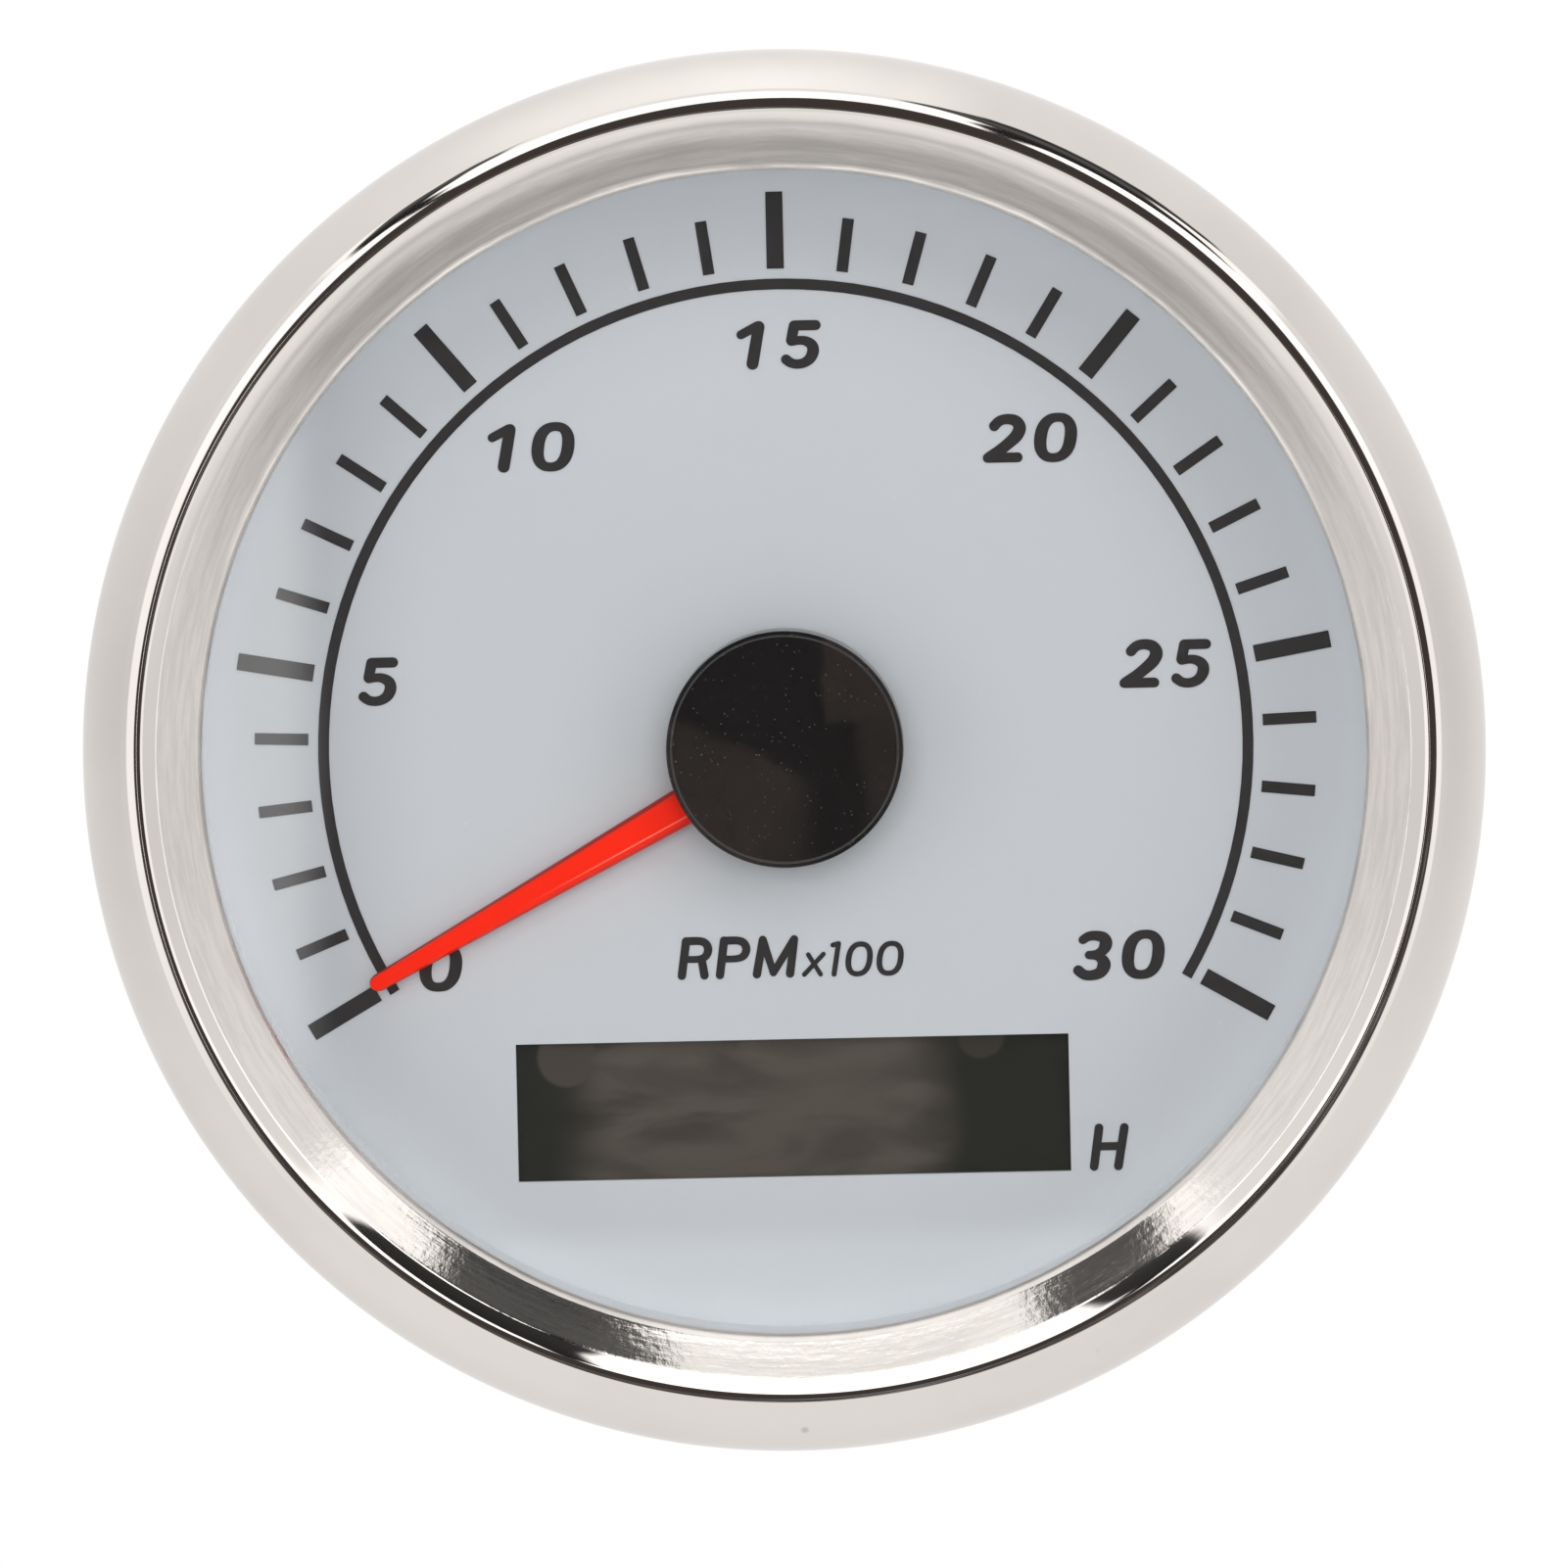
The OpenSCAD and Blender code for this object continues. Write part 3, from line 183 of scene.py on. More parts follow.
def vecCalc(tree, operation, a, b=(0, 0, 0)):
    made = node(tree, "ShaderNodeVectorMath", {0: a, 1: b}, operation=operation)
    return made.outputs["Value" if operation in ("LENGTH", "DOT_PRODUCT") else "Vector"]


def vector(tree, x, y, z):
    return node(tree, "ShaderNodeCombineXYZ", {0: x, 1: y, 2: z}).outputs[0]


def scaled(tree, colour, factor):
    return vecCalc(tree, "MULTIPLY", colour, vector(tree, factor, factor, factor))


def axes(tree, place):
    return node(tree, "ShaderNodeSeparateXYZ", {0: place}).outputs


def fromAxis(tree, place):
    # how far a place is from the gauge's axis
    x, y, z = axes(tree, place)
    return vecCalc(tree, "LENGTH", vector(tree, x, 0.0, z))


def objectPlace(tree):
    return node(tree, "ShaderNodeTexCoord").outputs["Object"]


def noise(tree, place, scale, detail=2.0, roughness=0.5, distortion=0.0):
    return node(tree, "ShaderNodeTexNoise", {
        "Vector": place, "Scale": scale, "Detail": detail, "Roughness": roughness,
        "Distortion": distortion}).outputs["Fac"]


def ramp(tree, factor, stops, blend="LINEAR"):
    made = node(tree, "ShaderNodeValToRGB", {0: factor})
    made.color_ramp.interpolation = blend
    while len(made.color_ramp.elements) < len(stops):
        made.color_ramp.elements.new(0.5)
    for element, (place, value) in zip(made.color_ramp.elements, stops):
        element.position = place
        element.color = (value, value, value, 1)
    return made.outputs[0]


def smoothStep(tree, value, low, high, first=0.0, last=1.0):
    return node(tree, "ShaderNodeMapRange",
                {"Value": value, "From Min": low, "From Max": high, "To Min": first, "To Max": last},
                interpolation_type="SMOOTHSTEP").outputs[0]


def stepMm(tree, value, low, high, first=0.0, last=1.0):
    return smoothStep(tree, value, low * mm, high * mm, first, last)


def mixColour(tree, factor, a, b):
    return node(tree, "ShaderNodeMix", {0: factor, 6: a, 7: b}, data_type="RGBA").outputs[2]


def mixValue(tree, factor, a, b):
    return node(tree, "ShaderNodeMix", {0: factor, 2: a, 3: b}, data_type="FLOAT").outputs[0]


# Shared effects
def makeGrain():
    # moulded or sprayed grain: a height that changes over the surface
    tree, start, end = newGroup("fineGrain", "ShaderNodeTree", {"Scale": 3000.0}, {"Height": "Float"})
    tree.links.new(noise(tree, objectPlace(tree), start.outputs["Scale"], 3.0, 0.6), end.inputs[0])
    return tree


def makeTone():
    # slow changes of tone and gloss, with a few cloudy patches
    tree, start, end = newGroup("slowTone", "ShaderNodeTree", {
        "Colour": (0.5, 0.5, 0.5, 1), "Scale": 60.0, "Amount": 0.1, "Roughness": 0.4, "Spread": 0.08},
        {"Colour": "Color", "Roughness": "Float"})
    get = start.outputs
    cloud = noise(tree, objectPlace(tree), get["Scale"], 5.0, 0.55, 0.3)
    swing = minus(tree, cloud, 0.5)
    lift = timesPlus(tree, times(tree, swing, get["Amount"]), 2.0, 1.0)
    tree.links.new(scaled(tree, get["Colour"], lift), end.inputs["Colour"])
    tree.links.new(timesPlus(tree, swing, get["Spread"], get["Roughness"]), end.inputs["Roughness"])
    return tree


def makeWear():
    # paler rubbed edges, from how sharply the surface turns
    tree, start, end = newGroup("rubbedEdges", "ShaderNodeTree", {
        "Colour": (0.5, 0.5, 0.5, 1), "Worn": (0.7, 0.7, 0.7, 1), "Amount": 0.5, "Reach": 0.6 * mm},
        {"Colour": "Color"})
    get = start.outputs
    rounded = node(tree, "ShaderNodeBevel", {"Radius": get["Reach"]}, samples=4).outputs[0]
    plain = node(tree, "ShaderNodeNewGeometry").outputs["Normal"]
    turn = minus(tree, 1.0, vecCalc(tree, "DOT_PRODUCT", rounded, plain))
    patchy = noise(tree, objectPlace(tree), 420.0, 4.0)
    mask = times(tree, smoothStep(tree, times(tree, turn, patchy), 0.01, 0.16), get["Amount"])
    tree.links.new(mixColour(tree, mask, get["Colour"], get["Worn"]), end.inputs["Colour"])
    return tree


def makeSpecks():
    # single specks of dust, fewer as Cover goes down
    tree, start, end = newGroup("dustSpecks", "ShaderNodeTree", {"Scale": 900.0, "Cover": 0.1},
                                {"Mask": "Float"})
    cells = node(tree, "ShaderNodeTexVoronoi", {
        "Vector": objectPlace(tree), "Scale": start.outputs["Scale"]}).outputs
    near = smoothStep(tree, cells["Distance"], 0.05, 0.2, 1.0, 0.0)
    pick = noise(tree, cells["Position"], 5000.0)
    chosen = calc(tree, "LESS_THAN", pick, timesPlus(tree, start.outputs["Cover"], 0.4, 0.3))
    tree.links.new(times(tree, near, chosen), end.inputs[0])
    return tree


def makeTurned():
    # lines that run round the axis, as a lathe or a polishing wheel leaves them
    tree, start, end = newGroup("turnedLines", "ShaderNodeTree", {"Lines": 4000.0, "Breaks": 6.0},
                                {"Height": "Float", "Radius": "Float"})
    lines, breaks = start.outputs["Lines"], start.outputs["Breaks"]
    x, y, z = axes(tree, objectPlace(tree))
    flat = vector(tree, x, 0.0, z)
    radius = vecCalc(tree, "LENGTH", flat)
    around = vecCalc(tree, "MULTIPLY", vecCalc(tree, "NORMALIZE", flat), vector(tree, breaks, 1.0, breaks))
    across = calc(tree, "ADD", times(tree, radius, lines), times(tree, y, lines))
    place = vecCalc(tree, "ADD", around, vector(tree, 0.0, across, 0.0))
    tree.links.new(noise(tree, place, 1.0, 4.0, 0.65), end.inputs["Height"])
    tree.links.new(radius, end.inputs["Radius"])
    return tree


groups = {"grain": makeGrain(), "tone": makeTone(), "wear": makeWear(), "specks": makeSpecks(),
          "turned": makeTurned()}
print("shared effects made")


def useGroup(tree, name, inputs):
    return node(tree, "ShaderNodeGroup", inputs, node_tree=groups[name])


def startMaterial(name):
    material = bpy.data.materials.new(name)
    material.use_nodes = True
    tree = material.node_tree
    return material, tree, tree.nodes["Principled BSDF"]


def connect(tree, shader, colour, roughness=None, height=None, depth=0.0):
    # depth is the height of a full swing of the pattern, in millimetres
    tree.links.new(colour, shader.inputs["Base Color"])
    if roughness is not None:
        tree.links.new(roughness, shader.inputs["Roughness"])
    if height is not None:
        raised = node(tree, "ShaderNodeBump", {"Strength": 1.0, "Distance": depth * mm, "Height": height})
        tree.links.new(raised.outputs[0], shader.inputs["Normal"])


def tone(tree, colour, scale, amount, roughness, spread):
    # returns the colour and the roughness with slow changes over the surface
    made = useGroup(tree, "tone", {"Colour": colour, "Scale": scale, "Amount": amount,
                                   "Roughness": roughness, "Spread": spread})
    return made.outputs["Colour"], made.outputs["Roughness"]


def wear(tree, colour, worn, amount, reach=0.6):
    return useGroup(tree, "wear", {"Colour": colour, "Worn": worn, "Amount": amount,
                                   "Reach": reach * mm}).outputs["Colour"]


def grain(tree, scale):
    return useGroup(tree, "grain", {"Scale": scale}).outputs[0]


def specks(tree, scale, cover, strength):
    return times(tree, useGroup(tree, "specks", {"Scale": scale, "Cover": cover}).outputs[0], strength)


def mouldedPlastic(name, colour, roughness, grainScale, depth, amount, worn=0.0, wornColour=None, dust=0.0):
    material, tree, shader = startMaterial(name)
    shader.inputs["IOR"].default_value = 1.47
    shade, gloss = tone(tree, colour, 70.0, amount, roughness, 0.14)
    if worn > 0:
        shade = wear(tree, shade, wornColour, worn)
    if dust > 0:
        shade = mixColour(tree, specks(tree, 900.0, dust, 0.22), shade, (0.5, 0.48, 0.45, 1))
    connect(tree, shader, shade, gloss, grain(tree, grainScale), depth)
    return material


def bareMetal(name, colour, roughness, grainScale=2500.0, depth=0.002, amount=0.14, worn=0.0):
    material, tree, shader = startMaterial(name)
    shader.inputs["Metallic"].default_value = 1.0
    shade, gloss = tone(tree, colour, 120.0, amount, roughness, 0.2)
    if worn > 0:
        bright = tuple(min(1.0, v * 1.35) for v in colour[:3]) + (1,)
        shade = wear(tree, shade, bright, worn)
    connect(tree, shader, shade, gloss, grain(tree, grainScale), depth)
    return material


# Bezel: one sheet, polished outside and turned in the cove
bezelSizes = {
    "outerR": 48.0, "crestR": 44.15, "openingR": 39.8, "crimpR": 45.0, "crestZ": 7.65, "shoulderDrop": 3.9,
    "crestRound": 1.8, "innerSlope": 15.3, "turnedR": 42.8, "turnedRound": 0.12, "coveSlope": 18.2,
    "lipSlope": 17.0, "lipR": 0.7, "rearFoldR": 0.9, "sheet": 0.6, "rearZ": 1.0, "glassZ": 5.01,
    "segments": 288,
}
bezelLook = {
    "steel": (0.80, 0.755, 0.715, 1), "smudged": (0.76, 0.715, 0.68, 1), "dirt": (0.42, 0.38, 0.33, 1),
    # painted reflection: brightness of the steel by radius inside the crest in the upper half, and one
    # brightness all over in the lower half
    "coveReflectionPaint": [(39.8, 1.0), (40.02, 1.25), (40.17, 0.8), (40.4, 0.5), (40.8, 0.58), (41.4, 0.50),
                 (41.9, 0.55), (42.3, 0.72), (42.7, 0.84), (43.05, 0.70), (43.35, 1.0), (43.7, 1.1)],
    "lowerReflectionPaint": 1.0, "toneRagged": 0.22,
    # where the inside of the crest, the lip's wall and the upper half start and are full
    "inside": (43.85, 43.7), "lip": (40.1, 39.95), "upperHalf": (2, 34),
    "bandRoughness": 0.03, "coveRoughness": 0.06, "lipRoughness": 0.4, "smudge": 0.02,
    "lines": 4200.0, "lineDepth": 0.0036, "peel": 1.6, "bandPeel": 0.015,
}


def turnedSteel():
    look = bezelLook
    material, tree, shader = startMaterial("turnedSteel")
    shader.inputs["Metallic"].default_value = 1.0
    fine = useGroup(tree, "turned", {"Lines": look["lines"], "Breaks": 9.0}).outputs
    coarse = useGroup(tree, "turned", {"Lines": look["lines"] * 0.2, "Breaks": 3.0}).outputs
    radius = fine["Radius"]
    inside = stepMm(tree, radius, *look["inside"])
    cove = stepMm(tree, radius, bezelSizes["turnedR"] + 0.1, bezelSizes["turnedR"] - 0.05)
    place = objectPlace(tree)
    haze = noise(tree, place, 55.0, 6.0, 0.6)
    tint = mixColour(tree, smoothStep(tree, haze, 0.4, 0.7), look["steel"], look["smudged"])
    # painted reflection: the steel inside the crest is made brighter or darker by radius, raggedly, and
    # evenly in the lower half
    first, last = look["coveReflectionPaint"][0][0], look["coveReflectionPaint"][-1][0]
    along = timesPlus(tree, radius, 1 / (last - first) / mm, -first / (last - first))
    along = timesPlus(tree, minus(tree, coarse["Height"], 0.5), look["toneRagged"], along)
    shade = ramp(tree, along, [((r - first) / (last - first), v) for r, v in look["coveReflectionPaint"]])
    upper = stepMm(tree, axes(tree, place)[2], *look["upperHalf"])
    shade = mixColour(tree, upper, (look["lowerReflectionPaint"],) * 3 + (1,), shade)
    streak = mixValue(tree, cove, 1.0, smoothStep(tree, fine["Height"], 0.35, 0.65, 0.92, 1.04))
    toned = scaled(tree, vecCalc(tree, "MULTIPLY", look["steel"][:3], shade), streak)
    tint = mixColour(tree, inside, tint, toned)
    tint = mixColour(tree, specks(tree, 500.0, 0.05, 0.5), tint, look["dirt"])
    gloss = mixValue(tree, cove, look["bandRoughness"], look["coveRoughness"])
    gloss = mixValue(tree, stepMm(tree, radius, *look["lip"]), gloss, look["lipRoughness"])
    gloss = timesPlus(tree, minus(tree, haze, 0.5), look["smudge"], gloss)
    height = timesPlus(tree, coarse["Height"], 2.0, fine["Height"])
    height = timesPlus(tree, grain(tree, 1600.0), look["peel"], height)
    height = times(tree, height, calc(tree, "MAXIMUM", cove, look["bandPeel"]))
    connect(tree, shader, tint, gloss, height, look["lineDepth"])
    return material


def clearGlass():
    # light from lamps passes straight through, so the dial is lit
    material, tree, shader = startMaterial("clearGlass")
    shader.inputs["Transmission Weight"].default_value = 1.0
    shader.inputs["IOR"].default_value = 1.5
    filmAndPaintedGlare = noise(tree, objectPlace(tree), 40.0, 4.0)
    tint = mixColour(tree, filmAndPaintedGlare, (0.985, 0.99, 0.99, 1), (0.99, 0.992, 0.992, 1))
    connect(tree, shader, tint, times(tree, filmAndPaintedGlare, 0.004))
    path = node(tree, "ShaderNodeLightPath")
    passing = calc(tree, "MAXIMUM", path.outputs["Is Shadow Ray"], path.outputs["Is Diffuse Ray"])
    clear = node(tree, "ShaderNodeBsdfTransparent", {"Color": (0.93, 0.935, 0.935, 1)}).outputs[0]
    both = node(tree, "ShaderNodeMixShader", {0: passing, 1: shader.outputs[0], 2: clear}).outputs[0]
    tree.links.new(both, tree.nodes["Material Output"].inputs["Surface"])
    return material


dialLook = {
    "paint": (0.545, 0.562, 0.588, 1), "fleck": (0.40, 0.44, 0.48, 1), "dust": (0.85, 0.84, 0.82, 1),
    # painted light: how much paler the paint is made towards the rim, by radius
    "rimLightPaint": [(26.0, 1.0), (30.0, 0.985), (34.5, 0.94), (36.0, 0.955), (37.0, 1.0), (38.0, 1.08), (39.0, 1.2),
             (39.6, 1.24)],
    # painted light and shade: where the paint is made paler at the foot, the painted rim light weaker below
    # and the left darker, and by how much
    "foot": (-32.5, -35.0, 1.0, 1.12), "rimLightBelow": (-5, -38, 1.0, 0.35), "leftShadePaint": (-24, -34, 1.0, 0.87),
}


def dialPaint():
    look = dialLook
    material, tree, shader = startMaterial("dialPaint")
    shade, gloss = tone(tree, look["paint"], 25.0, 0.02, 0.55, 0.05)
    height = grain(tree, 5200.0)
    shade = mixColour(tree, smoothStep(tree, height, 0.3, 0.75, 0.0, 0.05), shade, look["fleck"])
    place = objectPlace(tree)
    x, y, z = axes(tree, place)
    # painted light: the paint is made paler towards the rim, less so below, paler at the foot and darker at
    # the left
    edge = ramp(tree, times(tree, fromAxis(tree, place), 25.0), [(r / 40, v / 2) for r, v in look["rimLightPaint"]])
    edge = timesPlus(tree, timesPlus(tree, edge, 2.0, -1.0), stepMm(tree, z, *look["rimLightBelow"]), 1.0)
    lift = times(tree, times(tree, edge, stepMm(tree, z, *look["foot"])), stepMm(tree, x, *look["leftShadePaint"]))
    shade = mixColour(tree, specks(tree, 1300.0, 0.01, 0.3), scaled(tree, shade, lift), look["dust"])
    connect(tree, shader, shade, gloss, height, 0.0012)
    return material


displayLook = {
    "dark": srgb(36, 37, 33), "paintedReflection": srgb(84, 77, 70), "grain": srgb(20, 20, 19), "dust": (0.4, 0.4, 0.38, 1),
    # the painted reflection's edges, and its round spots as x, z, radius and strength
    "left": (-16.4, -10.4), "right": (11.8, 7.8), "sway": 12.0,
    "spots": [(-15.5, -21.2, 2.3, 0.62), (13.0, -20.2, 1.8, 0.3)],
}


def displayGlass():
    # dark polarising film under glass, with soft waves, clouds and two round spots painted on as a reflection
    look = displayLook
    material, tree, shader = startMaterial("displayGlass")
    place = objectPlace(tree)
    slanted = node(tree, "ShaderNodeMapping", {"Vector": place, "Rotation": (0, math.radians(12), 0),
                                               "Scale": (70, 70, 230)}).outputs[0]
    wave = noise(tree, slanted, 1.0, 3.0, 0.45, 1.6)
    # painted reflection: a lighter band across the display, with soft waves, clouds and two round spots
    cloud = noise(tree, place, 75.0)
    swayed = timesPlus(tree, minus(tree, cloud, 0.5), look["sway"] * mm, axes(tree, place)[0])
    paintedReflection = times(tree, stepMm(tree, swayed, *look["left"]), stepMm(tree, swayed, *look["right"]))
    paintedReflection = times(tree, paintedReflection, smoothStep(tree, wave, 0.3, 0.62, 0.5, 1.0))
    for x, z, r, strength in look["spots"]:
        away = vecCalc(tree, "SUBTRACT", place, (x * mm, 0, z * mm))
        spot = stepMm(tree, fromAxis(tree, away), r, r * 0.82, 0.0, strength)
        paintedReflection = calc(tree, "MAXIMUM", paintedReflection, spot)
    height = grain(tree, 9000.0)
    shade = mixColour(tree, paintedReflection, look["dark"], look["paintedReflection"])
    shade = mixColour(tree, times(tree, height, 0.12), shade, look["grain"])
    shade = mixColour(tree, specks(tree, 600.0, 0.0, 0.5), shade, look["dust"])
    connect(tree, shader, shade, timesPlus(tree, wave, 0.1, 0.12), height, 0.0004)
    return material


capSizes = {"r": 8.16, "low": -4.1, "high": 0.7, "wall": 0.9, "edge": 0.06, "rim": 0.22, "bevel": 0.13,
            "dish": 0.1, "draft": 0.03, "notchW": 3.4, "notchTop": -1.8, "bearing": -118.9}
pointerLook = {
    "red": (0.98, 0.022, 0.006, 1), "worn": (1.0, 0.16, 0.08, 1), "edgeShade": (0.30, 0.01, 0.006, 1),
    "edgeHighlight": (1.0, 0.3, 0.22, 1), "halfRoot": 1.3, "halfTip": 0.6, "length": 33.0,
    # the painted shade and highlight lines' places in from the edge, and where the highlight fades out along
    # the pointer
    "dark": (0.16, 0.04, 0.0, 0.75), "highlightIn": (0.34, 0.40), "highlightOut": (0.50, 0.44),
    "highlightFade": (22, 12, 0.0, 0.55),
}


def pointerRed():
    look = pointerLook
    material, tree, shader = startMaterial("pointerRed")
    shader.inputs["Specular IOR Level"].default_value = 0.05
    shade, gloss = tone(tree, look["red"], 90.0, 0.05, 0.34, 0.1)
    shade = wear(tree, shade, look["worn"], 0.3, 0.12)
    # a painted shade line along the upper edge and a painted highlight line along the lower, which ends half
    # way
    turn = math.radians(capSizes["bearing"])
    place = objectPlace(tree)
    across = vecCalc(tree, "DOT_PRODUCT", place, (math.cos(turn), 0, -math.sin(turn)))
    along = vecCalc(tree, "DOT_PRODUCT", place, (math.sin(turn), 0, math.cos(turn)))
    slope = (look["halfTip"] - look["halfRoot"]) / look["length"]
    half = timesPlus(tree, along, slope, look["halfRoot"] * mm)
    upper = stepMm(tree, minus(tree, half, across), *look["dark"])
    shade = mixColour(tree, upper, shade, look["edgeShade"])
    spare = calc(tree, "ADD", half, across)
    highlightMask = times(tree, stepMm(tree, spare, *look["highlightIn"]), stepMm(tree, spare, *look["highlightOut"]))
    highlightMask = times(tree, highlightMask, stepMm(tree, along, *look["highlightFade"]))
    shade = mixColour(tree, highlightMask, shade, look["edgeHighlight"])
    connect(tree, shader, shade, gloss, grain(tree, 5200.0), 0.002)
    return material


capLook = {
    "black": (0.0032, 0.0031, 0.0031, 1), "filmAndPaintedGlare": (0.0185, 0.0140, 0.0122, 1),
    "ringHighlight": (0.05, 0.048, 0.046, 1), "dust": (0.35, 0.33, 0.31, 1),
    # where each patch of the painted reflection starts and is full, across and up
    "upper": ((2.5, 3.1), (1.4, 2.4)), "side": ((4.4, 6.4), (-6.0, -3.5)),
    "lower": ((2.4, 0.2), (-0.6, -1.6)), "lowerSlope": 0.45, "ragged": 2.2,
    # the small step inside the rim gets a painted pale highlight
    "ringIn": (7.66, 7.78), "ringOut": (7.92, 7.80, 0.0, 0.8),
    "fineDust": (3000.0, 0.42, 0.25), "bigDust": (2000.0, 0.1, 0.3),
}


def capBlack():
    # glossy black with a painted brownish reflection at one side and below, and fine dust
    look = capLook
    material, tree, shader = startMaterial("capBlack")
    shade, gloss = tone(tree, look["black"], 80.0, 0.25, 0.16, 0.1)
    place = objectPlace(tree)
    shift = node(tree, "ShaderNodeTexNoise", {"Vector": place, "Scale": 260.0, "Detail": 3.0})
    shift = vecCalc(tree, "SUBTRACT", shift.outputs["Color"], (0.5, 0.5, 0.5))
    shift = vecCalc(tree, "MULTIPLY", shift, (look["ragged"] * mm,) * 3)
    x, y, z = axes(tree, vecCalc(tree, "ADD", place, shift))

    def patch(up, name):
        return times(tree, stepMm(tree, x, *look[name][0]), stepMm(tree, up, *look[name][1]))
    # painted reflection: brownish patches above, at one side and below
    filmAndPaintedGlare = calc(tree, "MAXIMUM", patch(z, "upper"), times(tree, patch(z, "side"), 0.8))
    filmAndPaintedGlare = calc(tree, "MAXIMUM", filmAndPaintedGlare, patch(timesPlus(tree, x, look["lowerSlope"], z), "lower"))
    filmAndPaintedGlare = times(tree, filmAndPaintedGlare, smoothStep(tree, noise(tree, place, 150.0), 0.3, 0.65, 0.55, 1.0))
    shade = mixColour(tree, filmAndPaintedGlare, shade, look["filmAndPaintedGlare"])
    # painted highlight: a pale ring on the small step inside the rim
    radius = fromAxis(tree, place)
    ringHighlight = times(tree, stepMm(tree, radius, *look["ringIn"]), stepMm(tree, radius, *look["ringOut"]))
    shade = mixColour(tree, ringHighlight, shade, look["ringHighlight"])
    dusty = calc(tree, "MAXIMUM", specks(tree, *look["fineDust"]), specks(tree, *look["bigDust"]))
    shade = mixColour(tree, dusty, shade, look["dust"])
    connect(tree, shader, shade, gloss, grain(tree, 3500.0), 0.0012)
    return material


def windingCopper():
    # turns of enamelled wire lie side by side along the coil, which runs up the dial
    material, tree, shader = startMaterial("windingCopper")
    shader.inputs["Metallic"].default_value = 0.9
    shader.inputs["Coat Weight"].default_value = 0.6
    wire = 0.12 * mm
    turns = calc(tree, "SINE", times(tree, axes(tree, objectPlace(tree))[2], 2 * math.pi / wire))
    shade, gloss = tone(tree, (0.55, 0.19, 0.06, 1), 300.0, 0.2, 0.3, 0.1)
    connect(tree, shader, shade, gloss, turns, 0.02)
    return material


def boardLaminate():
    material, tree, shader = startMaterial("boardLaminate")
    shader.inputs["Coat Weight"].default_value = 0.4
    place = objectPlace(tree)
    weave = [node(tree, "ShaderNodeTexWave", {"Vector": place, "Scale": 400.0, "Distortion": 0.5},
                  bands_direction=side).outputs["Fac"] for side in ("X", "Z")]
    cloth = times(tree, weave[0], weave[1])
    shade, gloss = tone(tree, (0.012, 0.10, 0.04, 1), 90.0, 0.2, 0.3, 0.1)
    shade = mixColour(tree, times(tree, cloth, 0.25), shade, (0.03, 0.16, 0.07, 1))
    connect(tree, shader, shade, gloss, cloth, 0.004)
    return material


def guideAcrylic():
    material, tree, shader = startMaterial("guideAcrylic")
    shader.inputs["Transmission Weight"].default_value = 0.6
    shader.inputs["IOR"].default_value = 1.49
    shade, gloss = tone(tree, (0.86, 0.90, 0.91, 1), 60.0, 0.03, 0.2, 0.08)
    connect(tree, shader, shade, gloss, grain(tree, 1800.0), 0.006)
    return material


